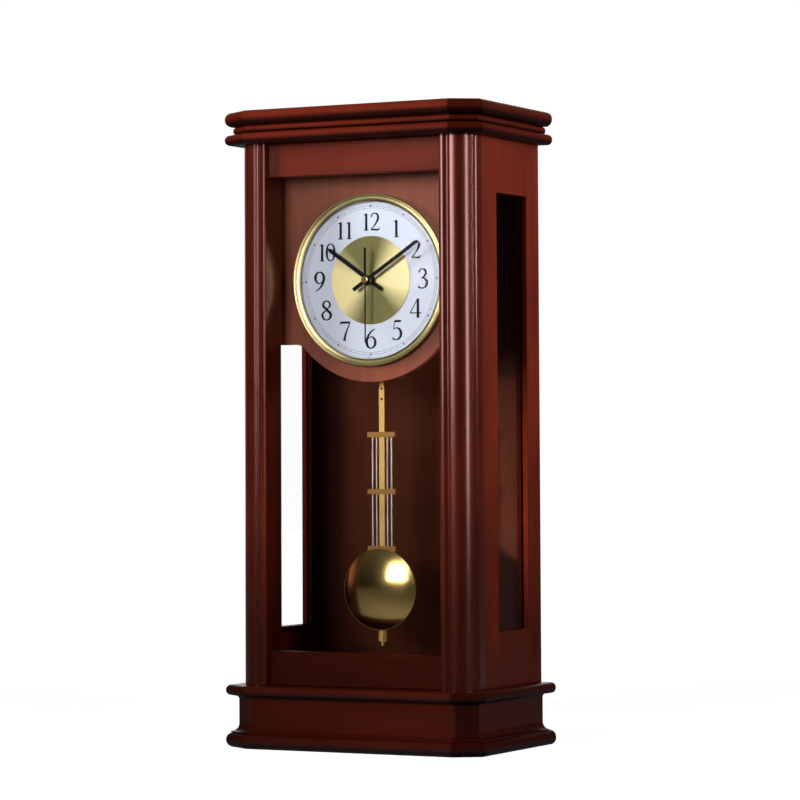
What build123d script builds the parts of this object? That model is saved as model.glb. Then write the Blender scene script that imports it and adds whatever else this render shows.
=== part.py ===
# Wooden pendulum case clock: canted moulded case, recessed dial, quartz movement and driven pendulum.
# Millimetres. The origin is under the middle of the base, +Z is up and the dial faces -Y.
import os
from math import atan2, cos, pi, radians, sin, sqrt, tan

from build123d import *

os.makedirs("parts", exist_ok=True)

# Case plan
case_width = 273.6
case_depth = 165.0
cant_run = 27.3
cant_rise = 17.9
body_inset = 15.0
post_cant_run = 21.8
post_width = 30.2
post_depth = 30.0
side_thickness = 11.4

# Case heights, from the floor up
thick_board = 14.0
frieze_height = 34.5
thin_board = 10.0
post_height = 508.0
band_height = 7.5

# Mouldings
nose_flat = 0.4
band_inset = 7.0
frieze_inset = 11.0
frieze_thickness = 16.0
frieze_setback = 6.0
foot_cove = 7.0
foot_fillet = 1.0
head_cove = 4.0
quirk_radius = 2.4
front_arris = 6.0
side_arris = 9.0
cant_swell = 4.0
cant_arris = 1.5
eased_edge = 1.5

# Side windows
window_width = 63.5
window_rear = 27.0
window_sill = 51.5
window_head = 50.5
window_lip = 5.0
glass_rabbet = 6.0
glass_thickness = 2.0
glass_gap = 0.5
stop_joint = 0.2

# Front rails and back
rail_height = 32.0
rail_thickness = 14.0
rail_setback = 7.7
back_thickness = 6.0
back_recess = 3.5
back_rabbet = 6.0
screw_radius = 1.2
screw_head_radius = 2.6
screw_head_height = 1.4
screw_length = 16.0
screw_slip = 0.05
screw_margin = 25.0
screw_tip_room = 1.0
hanger_width = 44.0
hanger_height = 34.0
hanger_thickness = 1.5
hanger_drop = 46.0
hanger_corner = 4.0
hanger_screw_margin = 7.0
keyhole_radius = 4.5
keyhole_slot = 5.0
keyhole_rise = 9.0
keyhole_room = 5.0

# Dial
dial_drop = 129.5
dial_setback = 40.5
dial_board_thickness = 6.0
dial_board_margin = 14.5
shoulder_drop = 59.0
shoulder_round = 14.0
cleat = 10.0
cleat_margin = 7.0
dial_thickness = 1.0
disc_radius = 41.5
disc_thickness = 0.4
bezel_radius = 81.0
bezel_width = 7.0
bezel_height = 6.0
bezel_lip = 1.2
bezel_bead = 2.4
bezel_groove = 0.5
lens_seat = 3.0
lens_flange = 2.0
lens_wall = 2.0
lens_slip = 0.4
lens_rise = 9.4
lens_sag = 10.6

# Hands, at the hour, minute and second shown, and how far each stays inside the bezel
time_shown = (10, 9, 30)
hour_margin = 19.6
minute_margin = 9.0
second_margin = 14.5
hour_tail = 16.2
minute_tail = 17.0
second_tail = 30.0
hour_width = 3.8
minute_width = 3.6
second_width = 1.2
counterweight_width = 2.2
hand_thickness = 0.6
hour_lift = 2.6
minute_lift = 7.6
second_lift = 10.6
hub_radius = 4.2
cap_radius = 3.4
cap_height = 1.6

# Arbors and bearings
second_shaft = 1.05
minute_tube = 1.95
hour_tube = 2.8
running_fit = 0.05
arbor_radius = 0.8
rotor_arbor = 0.6
motion_arbor = 0.9
bearing_depth = 1.2
arbor_recess = 0.2
bush_radius = 4.0
bush_flange = 6.0
bush_flange_thickness = 0.9
nut_across_flats = 11.0
nut_thickness = 1.6

# Gear train
train_spacing = 17.0
drive_spacing = 17.5
rotor_spacing = 9.6
motion_lean = radians(-40)
drive_lean = radians(60)
rotor_lean = radians(40)
second_pinion_teeth = 8
third_wheel_teeth = 60
third_pinion_teeth = 8
centre_wheel_teeth = 64
cannon_teeth = 10
motion_wheel_teeth = 30
motion_pinion_teeth = 8
hour_wheel_teeth = 32
drive_pinion_teeth = 10
second_wheel_teeth = 60
rotor_pinion_teeth = 8
drive_wheel_teeth = 40
wheel_thickness = 1.2
layer_gap = 0.6
floor_gap = 0.4
dedendum = 1.3
tip_share = 0.35
wheel_addendum = 0.95
wheel_share = 0.44
wheel_root = 1.1
pinion_addendum = 0.8
pinion_share = 0.34
pinion_root = 0.85
magnet_radius = 3.0
magnet_thickness = 3.0

# Movement case
case_wall = 2.0
movement_depth = 27.0
front_case_depth = 17.0
movement_above = 54.0
bridge_thickness = 1.4
bridge_gap = 1.2
bridge_margin = 1.0
bridge_coil_room = 3.4
bridge_below = 30.5
bridge_above = 34.5
pillar_radius = 2.5
pillar_above = 27.0
pillar_below = 25.0
pillar_inset = 6.0
corner_inset = 4.5
corner_boss = 3.0
case_screw_radius = 1.15
case_screw_length = 16.0
case_screw_head = 2.4
knob_radius = 7.0
knob_length = 6.0
knob_gap = 0.5
knob_grip = 0.7
knob_grooves = 18
stator_thickness = 1.0
stator_air = 0.4
stator_above = 12.6
stator_below = 17.4
stator_yoke = 5.0
stator_side_gap = 3.0
stator_arbor_gap = 0.45
stator_web = 2.0
pad_radius = 1.5
core_width = 3.1
coil_half = 2.6
coil_end_gap = 0.5
coil_slip = 0.05
board_thickness = 1.2
board_margin = 2.0
board_below = 23.0
board_above = 29.0
board_knob_room = 7.0
crystal_radius = 1.0
crystal_length = 6.0
crystal_rise = 10.0
battery_radius = 7.1
battery_length = 49.2
battery_nub = 1.3
battery_nub_radius = 2.7
battery_rise = 43.0
battery_floor_gap = 3.7
battery_rib = 1.5
contact_thickness = 0.5
contact_size = 11.0

# Pendulum
lever_drop = 37.0
lever_setback = 10.5
lever_depth = 7.0
lever_hub = 5.0
lever_pin = 1.5
lever_half_width = 4.0
lever_reach = 32.0
hook_drop = 50.0
hook_radius = 1.2
hook_slip = 0.1
magnet_drop = 20.0
drive_magnet_radius = 4.0
drive_magnet_thickness = 1.5
drive_gap = 0.5
drive_coil_radius = 7.0
drive_coil_bore = 2.5
rod_width = 5.6
rod_thickness = 1.2
rod_eye = 2.6
neck_width = 2.6
neck_drop = 7.5
neck_taper = 7.5
rod_hole = 1.2
upper_hole_drop = 14.3
hole_pitch = 9.9
cross_bar_width = 29.2
cross_bar_height = 4.7
cross_bar_depth = 4.0
upper_bar_drop = 107.5
grid_radius = 0.95
grid_outer = 10.0
grid_inner = 5.7
grid_slip = 0.02
bob_rise = 89.0
bob_radius = 38.0
bob_shell = 1.0
bob_rim = 1.2
bob_dome_height = 7.5
bob_back_thickness = 1.5
bob_front_gap = 0.8
guide_width = 12.0
guide_slip = 0.05
guide_height = 28.0
guide_drop = 8.0
foot_height = 11.0
thread_radius = 1.8
thread_top = 16.5
nut_radius = 4.15
nut_height = 10.0
nut_gap = 0.3
nut_grooves = 24
nut_groove = 0.35
thread_tip = 4.0

# Levels
frieze_z = thick_board
base_top_z = frieze_z + frieze_height
body_z = base_top_z + thin_board
crown_z = body_z + post_height
band_z = crown_z + thin_board
top_z = band_z + band_height
dial_z = crown_z - dial_drop
lever_z = dial_z - lever_drop
bob_z = body_z + bob_rise
bezel_inner = bezel_radius - bezel_width
dial_board_radius = bezel_radius + dial_board_margin
half_width = case_width / 2
front_y = -case_depth / 2
back_y = case_depth / 2
lean = atan2(cant_rise, cant_run)

# Faces of the body
body_x = half_width - body_inset
inner_x = body_x - side_thickness
post_front = front_y + body_inset
post_back = post_front + post_depth
opening_x = body_x - post_width
window_z = body_z + window_sill
window_top = crown_z - window_head
window_y = back_y - window_rear - window_width
window_back = window_y + window_width
panel_back = back_y - back_recess
panel_front = panel_back - back_thickness
rail_front = post_front + rail_setback

# Depths through the dial and the movement
board_front = post_front + dial_setback
board_back = board_front + dial_board_thickness
dial_face = board_front - dial_thickness
disc_face = dial_face - disc_thickness
flange_face = dial_face - lens_flange
case_floor = board_back + case_wall
parting = board_back + front_case_depth
movement_back = board_back + movement_depth
rear_floor = movement_back - case_wall
bearing_end = case_floor - bearing_depth
hour_face = disc_face - hour_lift - hand_thickness
minute_face = disc_face - minute_lift - hand_thickness
second_face = disc_face - second_lift - hand_thickness
layer_pitch = wheel_thickness + layer_gap
hour_layer = case_floor + floor_gap
cannon_layer = hour_layer + layer_pitch
centre_layer = cannon_layer + layer_pitch
third_layer = centre_layer + layer_pitch
second_layer = third_layer + layer_pitch
drive_layer = second_layer + layer_pitch
magnet_front = drive_layer + layer_pitch
magnet_back = magnet_front + magnet_thickness
bridge_front = magnet_back + bridge_gap
bridge_back = bridge_front + bridge_thickness
arbor_end = bridge_back - arbor_recess
movement_x = 2 * train_spacing + case_wall
movement_top = dial_z + movement_above
movement_foot = lever_z - lever_reach

# Axes of the train, each as x and z
centre = (0, dial_z)
third_axis = (-train_spacing, dial_z)
motion_axis = (train_spacing * cos(motion_lean), dial_z + train_spacing * sin(motion_lean))
drive_axis = (drive_spacing * cos(drive_lean), dial_z + drive_spacing * sin(drive_lean))
rotor_axis = (
    drive_axis[0] + rotor_spacing * cos(rotor_lean),
    drive_axis[1] + rotor_spacing * sin(rotor_lean),
)
lever_axis = (0, lever_z)


def facing(y):
    """Plane at depth y seen from the front, with +X to the right and +Z up."""
    return Plane.XZ.offset(-y)


def save(piece, name):
    """Label a finished piece and write it out."""
    piece.part.label = name
    export_step(piece.part, f"parts/{name}.step")


def block(x_span, y_span, z_span, mode=Mode.ADD):
    """Square-edged block between two limits on each axis, in any order."""
    with BuildSketch(Plane.XY.offset(min(z_span)), mode=Mode.PRIVATE) as base:
        with Locations((sum(x_span) / 2, sum(y_span) / 2)):
            Rectangle(abs(x_span[1] - x_span[0]), abs(y_span[1] - y_span[0]))
    extrude(base.sketch, amount=abs(z_span[1] - z_span[0]), mode=mode)


def round_bar(spot, radius, front, back, mode=Mode.ADD):
    """Round bar along Y through the point (x, z), between two depths."""
    with BuildSketch(facing(back), mode=Mode.PRIVATE) as disc:
        with Locations(spot):
            Circle(radius)
    extrude(disc.sketch, amount=back - front, mode=mode)


def upright_rod(x, y, radius, low, high, mode=Mode.ADD):
    """Round rod along Z between two heights."""
    with BuildSketch(Plane.XY.offset(low), mode=Mode.PRIVATE) as disc:
        with Locations((x, y)):
            Circle(radius)
    extrude(disc.sketch, amount=high - low, mode=mode)


def dome_middle(rim_radius, rim_y, apex_y):
    """Point half-way out on a dome that runs from a rim to its apex on the axis."""
    sag = rim_y - apex_y
    ball = (rim_radius**2 + sag**2) / (2 * sag)
    return (rim_radius / 2, apex_y + ball - sqrt(ball**2 - (rim_radius / 2) ** 2))


def plan_points(inset, rear=back_y):
    """Canted plan of the boards, set in by a distance on the front, cants and sides."""
    side = half_width - inset
    front = front_y + inset
    front_corner = half_width - cant_run - inset * tan(lean / 2)
    side_corner = front_y + cant_rise + inset * tan((pi / 2 - lean) / 2)
    return [
        (-side, rear),
        (-side, side_corner),
        (-front_corner, front),
        (front_corner, front),
        (side, side_corner),
        (side, rear),
    ]


def nosed_board(inset, base_z, thickness):
    """Board with a half-round edge on the front, cants and sides, square at the back."""
    with BuildPart() as board:
        with BuildSketch(Plane.XY.offset(base_z)):
            with BuildLine():
                Polyline(*plan_points(inset), close=True)
            make_face()
        extrude(amount=thickness)
        rims = board.edges().filter_by(Axis.Z, reverse=True).sort_by(Axis.Y)[:-2]
        fillet(rims, (thickness - nose_flat) / 2)
    return board


def mitre(corner):
    """Upright plane through a corner of the plan, looking along the run that starts there."""
    outer = Vector(*plan_points(0, back_y - frieze_setback)[corner])
    inner = Vector(*plan_points(frieze_inset, back_y - frieze_setback)[corner])
    inward = (inner - outer).normalized()
    return Plane(origin=outer, x_dir=inward, z_dir=inward.cross(Vector(0, 0, 1)))


def frieze_run(first):
    """Length of frieze from one corner of the plan to the next, coved top and bottom and mitred."""
    corners = plan_points(frieze_inset, back_y - frieze_setback)
    start = Vector(*corners[first], frieze_z)
    end = Vector(*corners[first + 1], frieze_z)
    outward = (end - start).normalized().cross(Vector(0, 0, 1))
    across = Plane(origin=(start + end) / 2, x_dir=outward, z_dir=outward.cross(Vector(0, 0, 1)))
    foot_end = foot_fillet + foot_cove
    head_start = frieze_height - head_cove
    bend = 1 - sqrt(0.5)
    with BuildPart() as run:
        with BuildSketch(across):
            with BuildLine():
                Polyline((-frieze_thickness, 0), (foot_cove, 0), (foot_cove, foot_fillet))
                ThreePointArc(
                    (foot_cove, foot_fillet),
                    (foot_cove * bend, foot_end - foot_cove * (1 - bend)),
                    (0, foot_end),
                )
                Line((0, foot_end), (0, head_start))
                ThreePointArc(
                    (0, head_start),
                    (head_cove * bend, head_start + head_cove * (1 - bend)),
                    (head_cove, frieze_height),
                )
                Polyline(
                    (head_cove, frieze_height),
                    (-frieze_thickness, frieze_height),
                    (-frieze_thickness, 0),
                )
            make_face()
        extrude(amount=(end - start).length / 2 + frieze_thickness + foot_cove, both=True)
        split(bisect_by=mitre(first), keep=Keep.TOP)
        split(bisect_by=mitre(first + 1), keep=Keep.BOTTOM)
    return run


def gear_outline(spot, teeth, module, turn, addendum, share, root):
    """Points round a gear with one tooth in the direction turn."""
    pitch = module * teeth / 2
    half = share * pi / teeth
    flank = (
        (pitch - dedendum * module, root * half),
        (pitch, half),
        (pitch + addendum * module, tip_share * half),
    )
    points = []
    for tooth in range(teeth):
        middle = turn + 2 * pi * tooth / teeth
        edge = [(radius, middle - width) for radius, width in flank]
        edge += [(radius, middle + width) for radius, width in reversed(flank)]
        points += [(spot[0] + radius * cos(a), spot[1] + radius * sin(a)) for radius, a in edge]
    return points


def toothed_disc(outline, front, back):
    """Gear blank between two depths."""
    with BuildSketch(facing(back), mode=Mode.PRIVATE) as ring:
        with BuildLine():
            Polyline(*outline, close=True)
        make_face()
    extrude(ring.sketch, amount=back - front)


def towards(start, end):
    """Direction from one axis to another."""
    return atan2(end[1] - start[1], end[0] - start[0])


def wheel(spot, mate, teeth, mate_teeth, spacing, front, back):
    """Wheel with a tooth pointing at the pinion it meshes with."""
    module = 2 * spacing / (teeth + mate_teeth)
    turn = towards(spot, mate)
    outline = gear_outline(spot, teeth, module, turn, wheel_addendum, wheel_share, wheel_root)
    toothed_disc(outline, front, back)


def pinion(spot, mate, teeth, mate_teeth, spacing, front, back):
    """Pinion with a space facing the wheel it meshes with."""
    module = 2 * spacing / (teeth + mate_teeth)
    turn = towards(spot, mate) + pi / teeth
    outline = gear_outline(spot, teeth, module, turn, pinion_addendum, pinion_share, pinion_root)
    toothed_disc(outline, front, back)


# Crown and base boards
crown_top_board = nosed_board(0, top_z, thick_board)
save(crown_top_board, "crown_top_board")
crown_band = nosed_board(band_inset, band_z, band_height)
save(crown_band, "crown_band")
crown_lower_board = nosed_board(0, crown_z, thin_board)
save(crown_lower_board, "crown_lower_board")
base_top_board = nosed_board(0, base_top_z, thin_board)
save(base_top_board, "base_top_board")
base_bottom_board = nosed_board(0, 0, thick_board)
save(base_bottom_board, "base_bottom_board")

# Frieze between the base boards
for run_start, run_name in ((0, "frieze_left"), (2, "frieze_front"), (4, "frieze_right")):
    save(frieze_run(run_start), run_name)
left_cant = frieze_run(1).part
right_cant = frieze_run(3).part
with BuildPart() as frieze_corners:
    add(left_cant)
    add(right_cant)
save(frieze_corners, "frieze_corners")

# Screws of the back and the hanger plate, as x, z and the depth of the face under the head
side_screw_x = inner_x + back_rabbet / 2
side_screw_z = (body_z + screw_margin, (body_z + crown_z) / 2, crown_z - screw_margin)
hanger_z = crown_z - hanger_drop
hanger_screw_x = hanger_width / 2 - hanger_screw_margin
hanger_back = panel_back + hanger_thickness
back_screw_spots = [(side * side_screw_x, z, panel_back) for side in (-1, 1) for z in side_screw_z]
hanger_screw_spots = [(side * hanger_screw_x, hanger_z, hanger_back) for side in (-1, 1)]
hanger_screw_length = hanger_thickness + back_thickness - screw_tip_room

# Posts, sides and panes, left and right
for side, hand in ((-1, "left"), (1, "right")):
    front_corner = (side * (body_x - post_cant_run), post_front)
    side_corner = (side * body_x, post_front + post_cant_run * cant_rise / cant_run)
    cant_x = (front_corner[0] + side_corner[0]) / 2 + side * cant_swell * sin(lean)
    cant_y = (front_corner[1] + side_corner[1]) / 2 - cant_swell * cos(lean)
    with BuildPart() as corner_post:
        with BuildSketch(Plane.XY.offset(body_z)):
            with BuildLine():
                Polyline(
                    side_corner,
                    (side * body_x, post_back),
                    (side * opening_x, post_back),
                    (side * opening_x, post_front),
                    front_corner,
                )
                ThreePointArc(front_corner, (cant_x, cant_y), side_corner)
            make_face()
            with Locations(front_corner, side_corner):
                Circle(quirk_radius, mode=Mode.SUBTRACT)
        extrude(amount=post_height)
        uprights = corner_post.edges().filter_by(Axis.Z)
        fillet(uprights.sort_by_distance((cant_x, cant_y, body_z))[:2], cant_arris)
        for x, y, arris in (
            (front_corner[0] - side * quirk_radius, post_front, front_arris),
            (side * body_x, side_corner[1] + quirk_radius, side_arris),
            (side * opening_x, post_front, eased_edge),
        ):
            fillet(corner_post.edges().filter_by(Axis.Z).sort_by_distance((x, y, body_z))[:1], arris)
    save(corner_post, f"{hand}_corner_post")

    lip_x = body_x - window_lip
    with BuildPart() as side_panel:
        block((side * inner_x, side * body_x), (post_back, back_y), (body_z, crown_z))
        block(
            (side * inner_x, side * body_x),
            (window_y, window_back),
            (window_z, window_top),
            mode=Mode.SUBTRACT,
        )
        block(
            (side * inner_x, side * lip_x),
            (window_y - glass_rabbet, window_back + glass_rabbet),
            (window_z - glass_rabbet, window_top + glass_rabbet),
            mode=Mode.SUBTRACT,
        )
        block(
            (side * inner_x, side * (inner_x + back_rabbet)),
            (panel_front, back_y),
            (body_z, crown_z),
            mode=Mode.SUBTRACT,
        )
        for z in side_screw_z:
            round_bar(
                (side * side_screw_x, z),
                screw_radius + screw_slip,
                panel_back - screw_length,
                panel_back,
                mode=Mode.SUBTRACT,
            )
    save(side_panel, f"{hand}_side_panel")

    pane_rim = glass_rabbet - glass_gap
    with BuildPart() as side_glass:
        block(
            (side * (lip_x - glass_thickness), side * lip_x),
            (window_y - pane_rim, window_back + pane_rim),
            (window_z - pane_rim, window_top + pane_rim),
        )
    save(side_glass, f"{hand}_side_glass")

# Strips that hold the panes
stop_x = (inner_x, body_x - window_lip - glass_thickness)
with BuildPart() as glass_stops:
    for side in (-1, 1):
        strip_x = (side * stop_x[0], side * stop_x[1])
        for strip_y in ((window_y - glass_rabbet, window_y), (window_back, window_back + glass_rabbet)):
            block(strip_x, strip_y, (window_z - glass_rabbet, window_top + glass_rabbet))
        for strip_z in ((window_z - glass_rabbet, window_z), (window_top, window_top + glass_rabbet)):
            block(strip_x, (window_y + stop_joint, window_back - stop_joint), strip_z)
save(glass_stops, "glass_stops")

# Front rails
for rail_z, rail_name in ((crown_z - rail_height, "top_rail"), (body_z, "bottom_rail")):
    with BuildPart() as rail:
        block(
            (-opening_x, opening_x),
            (rail_front, rail_front + rail_thickness),
            (rail_z, rail_z + rail_height),
        )
        fillet(rail.faces().sort_by(Axis.Y)[0].edges().filter_by(Axis.X), eased_edge)
    save(rail, rail_name)

# Back panel with room behind the keyhole
panel_x = inner_x + back_rabbet
with BuildPart() as back_panel:
    block((-panel_x, panel_x), (panel_front, panel_back), (body_z, crown_z))
    block(
        (-keyhole_radius - keyhole_room / 2, keyhole_radius + keyhole_room / 2),
        (panel_front, panel_back),
        (hanger_z - keyhole_radius - keyhole_room, hanger_z + keyhole_rise + keyhole_room),
        mode=Mode.SUBTRACT,
    )
    for x, z, seat in back_screw_spots + hanger_screw_spots:
        round_bar((x, z), screw_radius + screw_slip, panel_front, panel_back, mode=Mode.SUBTRACT)
save(back_panel, "back_panel")

with BuildPart() as hanger_plate:
    with BuildSketch(facing(hanger_back)):
        with Locations((0, hanger_z)):
            RectangleRounded(hanger_width, hanger_height, hanger_corner)
            Circle(keyhole_radius, mode=Mode.SUBTRACT)
        with Locations((0, hanger_z + keyhole_rise / 2)):
            SlotCenterToCenter(keyhole_rise, keyhole_slot, rotation=90, mode=Mode.SUBTRACT)
        with Locations(*[(x, z) for x, z, seat in hanger_screw_spots]):
            Circle(screw_radius + screw_slip, mode=Mode.SUBTRACT)
    extrude(amount=hanger_thickness)
save(hanger_plate, "hanger_plate")

with BuildPart() as back_screws:
    for x, z, seat in back_screw_spots:
        round_bar((x, z), screw_radius, seat - screw_length + screw_tip_room, seat)
        round_bar((x, z), screw_head_radius, seat, seat + screw_head_height)
    for x, z, seat in hanger_screw_spots:
        round_bar((x, z), screw_radius, seat - hanger_screw_length, seat)
        round_bar((x, z), screw_head_radius, seat, seat + screw_head_height)
save(back_screws, "back_screws")

# Dial board with its round lower edge, and the cleats behind it
shoulder_z = dial_z - shoulder_drop
shoulder_x = sqrt(dial_board_radius**2 - shoulder_drop**2)
with BuildPart() as dial_board:
    with BuildSketch(facing(board_back)) as outline:
        with BuildLine():
            Polyline(
                (-shoulder_x, shoulder_z),
                (-inner_x, shoulder_z),
                (-inner_x, crown_z),
                (inner_x, crown_z),
                (inner_x, shoulder_z),
                (shoulder_x, shoulder_z),
            )
            ThreePointArc(
                (shoulder_x, shoulder_z),
                (0, dial_z - dial_board_radius),
                (-shoulder_x, shoulder_z),
            )
        make_face()
        for side in (-1, 1):
            fillet(outline.vertices().sort_by_distance((side * shoulder_x, shoulder_z))[:1], shoulder_round)
        with Locations(centre):
            Circle(bush_radius + running_fit, mode=Mode.SUBTRACT)
    extrude(amount=dial_board_thickness)
save(dial_board, "dial_board")

with BuildPart() as dial_cleats:
    for side in (-1, 1):
        block(
            (side * (inner_x - cleat), side * inner_x),
            (board_back, board_back + cleat),
            (shoulder_z + cleat_margin, crown_z - cleat_margin),
        )
save(dial_cleats, "dial_cleats")

# Dial, bezel and lens
seat_radius = bezel_inner + lens_seat
dial_axis = Axis((0, 0, dial_z), (0, 1, 0))
with BuildPart() as dial_plate:
    round_bar(centre, seat_radius - lens_slip / 2, dial_face, board_front)
    round_bar(centre, bush_radius + running_fit, dial_face, board_front, mode=Mode.SUBTRACT)
save(dial_plate, "dial_plate")

with BuildPart() as centre_disc:
    round_bar(centre, disc_radius, disc_face, dial_face)
    round_bar(centre, bush_radius + running_fit, disc_face, dial_face, mode=Mode.SUBTRACT)
save(centre_disc, "centre_disc")

bezel_front = board_front - bezel_height
lip_face = flange_face - bezel_lip
bead_foot = bezel_front + bezel_bead / 2
band_edge = bezel_radius - bezel_bead - bezel_groove
band_face = bead_foot - bezel_groove
with BuildPart() as bezel:
    with BuildSketch(Plane.XY.offset(dial_z)):
        with BuildLine():
            Line((seat_radius, board_front), (bezel_radius, board_front))
            Line((bezel_radius, board_front), (bezel_radius, bead_foot))
            ThreePointArc(
                (bezel_radius, bead_foot),
                (bezel_radius - bezel_bead / 2, bezel_front),
                (bezel_radius - bezel_bead, bead_foot),
            )
            Line((bezel_radius - bezel_bead, bead_foot), (band_edge, bead_foot))
            Line((band_edge, bead_foot), (band_edge, band_face))
            ThreePointArc(
                (band_edge, band_face),
                ((band_edge + bezel_inner) / 2, band_face),
                (bezel_inner, lip_face),
            )
            Polyline(
                (bezel_inner, lip_face),
                (bezel_inner, flange_face),
                (seat_radius, flange_face),
                (seat_radius, board_front),
            )
        make_face()
    revolve(axis=dial_axis)
save(bezel, "bezel")

wall_outer = bezel_inner - lens_slip
wall_inner = wall_outer - lens_wall
lens_rim = dial_face - lens_rise
lens_apex = lens_rim - lens_sag
outer_rim = lens_rim - lens_wall
outer_apex = lens_apex - lens_wall
with BuildPart() as lens:
    with BuildSketch(Plane.XY.offset(dial_z)):
        with BuildLine():
            Line((0, outer_apex), (0, lens_apex))
            ThreePointArc(
                (0, lens_apex),
                dome_middle(wall_inner, lens_rim, lens_apex),
                (wall_inner, lens_rim),
            )
            Polyline(
                (wall_inner, lens_rim),
                (wall_inner, dial_face),
                (seat_radius - lens_slip / 2, dial_face),
                (seat_radius - lens_slip / 2, flange_face),
                (wall_outer, flange_face),
                (wall_outer, outer_rim),
            )
            ThreePointArc(
                (wall_outer, outer_rim),
                dome_middle(wall_outer, outer_rim, outer_apex),
                (0, outer_apex),
            )
        make_face()
    revolve(axis=dial_axis)
save(lens, "lens")

# Hands
second_turn = time_shown[2] * 6
minute_turn = time_shown[1] * 6 + second_turn / 60
hour_turn = time_shown[0] * 30 + minute_turn / 12


def on_dial(turn, along, across):
    """Point a distance along and across a hand that is turned clockwise from twelve."""
    angle = radians(turn)
    return (
        along * sin(angle) + across * cos(angle),
        dial_z + along * cos(angle) - across * sin(angle),
    )


def baton(turn, length, tail, tip_width, tail_width, hub, hole, front):
    """Flat hand with a blunt point, a straight tail and a round hub."""
    half_tip = tip_width / 2
    half_tail = tail_width / 2
    outline = [
        on_dial(turn, length, 0),
        on_dial(turn, length - tip_width, half_tip),
        on_dial(turn, 0, half_tip),
        on_dial(turn, 0, half_tail),
        on_dial(turn, -tail, half_tail),
        on_dial(turn, -tail, -half_tail),
        on_dial(turn, 0, -half_tail),
        on_dial(turn, 0, -half_tip),
        on_dial(turn, length - tip_width, -half_tip),
    ]
    with BuildPart() as blade:
        with BuildSketch(facing(front + hand_thickness)):
            with BuildLine():
                Polyline(*dict.fromkeys(outline), close=True)
            make_face()
            with Locations(centre):
                Circle(hub)
                Circle(hole, mode=Mode.SUBTRACT)
        extrude(amount=hand_thickness)
    return blade


hour_hand = baton(
    hour_turn, bezel_inner - hour_margin, hour_tail, hour_width, hour_width,
    hub_radius, hour_tube, hour_face,
)
save(hour_hand, "hour_hand")
minute_hand = baton(
    minute_turn, bezel_inner - minute_margin, minute_tail, minute_width, minute_width,
    hub_radius, minute_tube, minute_face,
)
save(minute_hand, "minute_hand")
second_hand = baton(
    second_turn, bezel_inner - second_margin, second_tail, second_width, counterweight_width,
    cap_radius, second_shaft, second_face,
)
save(second_hand, "second_hand")

with BuildPart() as hand_cap:
    round_bar(centre, cap_radius, second_face - cap_height, second_face)
    fillet(hand_cap.faces().sort_by(Axis.Y)[0].edges(), cap_height / 2)
save(hand_cap, "hand_cap")

# Bush and nut that hold the movement to the dial board
bush_front = disc_face - nut_thickness - running_fit * 4
with BuildPart() as centre_bush:
    round_bar(centre, bush_flange, case_floor - bush_flange_thickness, case_floor)
    round_bar(centre, bush_radius, bush_front, case_floor)
    round_bar(centre, hour_tube + running_fit, bush_front, case_floor, mode=Mode.SUBTRACT)
save(centre_bush, "centre_bush")

with BuildPart() as bush_nut:
    with BuildSketch(facing(disc_face)):
        with Locations(centre):
            RegularPolygon(nut_across_flats / 2, 6, major_radius=False)
            Circle(bush_radius + running_fit, mode=Mode.SUBTRACT)
    extrude(amount=nut_thickness)
save(bush_nut, "bush_nut")

# Wheels of the train
with BuildPart() as hour_wheel:
    wheel(
        centre, motion_axis, hour_wheel_teeth, motion_pinion_teeth, train_spacing,
        hour_layer, hour_layer + wheel_thickness,
    )
    round_bar(centre, hour_tube, hour_face - running_fit * 4, hour_layer)
    round_bar(
        centre, minute_tube + running_fit, hour_face - running_fit * 4, hour_layer + wheel_thickness,
        mode=Mode.SUBTRACT,
    )
save(hour_wheel, "hour_wheel")

with BuildPart() as centre_wheel:
    pinion(
        centre, motion_axis, cannon_teeth, motion_wheel_teeth, train_spacing,
        cannon_layer, centre_layer,
    )
    wheel(
        centre, third_axis, centre_wheel_teeth, third_pinion_teeth, train_spacing,
        centre_layer, centre_layer + wheel_thickness,
    )
    round_bar(centre, minute_tube, minute_face - running_fit * 4, cannon_layer)
    round_bar(
        centre, second_shaft + running_fit, minute_face - running_fit * 4, centre_layer + wheel_thickness,
        mode=Mode.SUBTRACT,
    )
save(centre_wheel, "centre_wheel")

with BuildPart() as third_wheel:
    round_bar(third_axis, arbor_radius, bearing_end, arbor_end)
    pinion(
        third_axis, centre, third_pinion_teeth, centre_wheel_teeth, train_spacing,
        centre_layer, third_layer,
    )
    wheel(
        third_axis, centre, third_wheel_teeth, second_pinion_teeth, train_spacing,
        third_layer, third_layer + wheel_thickness,
    )
save(third_wheel, "third_wheel")

with BuildPart() as seconds_wheel:
    round_bar(centre, second_shaft, second_face, arbor_end)
    pinion(
        centre, third_axis, second_pinion_teeth, third_wheel_teeth, train_spacing,
        third_layer, second_layer,
    )
    wheel(
        centre, drive_axis, second_wheel_teeth, drive_pinion_teeth, drive_spacing,
        second_layer, second_layer + wheel_thickness,
    )
save(seconds_wheel, "seconds_wheel")

with BuildPart() as intermediate_wheel:
    round_bar(drive_axis, arbor_radius, bearing_end, arbor_end)
    pinion(
        drive_axis, centre, drive_pinion_teeth, second_wheel_teeth, drive_spacing,
        second_layer, drive_layer,
    )
    wheel(
        drive_axis, rotor_axis, drive_wheel_teeth, rotor_pinion_teeth, rotor_spacing,
        drive_layer, drive_layer + wheel_thickness,
    )
save(intermediate_wheel, "intermediate_wheel")

with BuildPart() as rotor:
    round_bar(rotor_axis, rotor_arbor, bearing_end, arbor_end)
    pinion(
        rotor_axis, drive_axis, rotor_pinion_teeth, drive_wheel_teeth, rotor_spacing,
        drive_layer, magnet_front,
    )
    round_bar(rotor_axis, magnet_radius, magnet_front, magnet_back)
save(rotor, "rotor")

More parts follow.
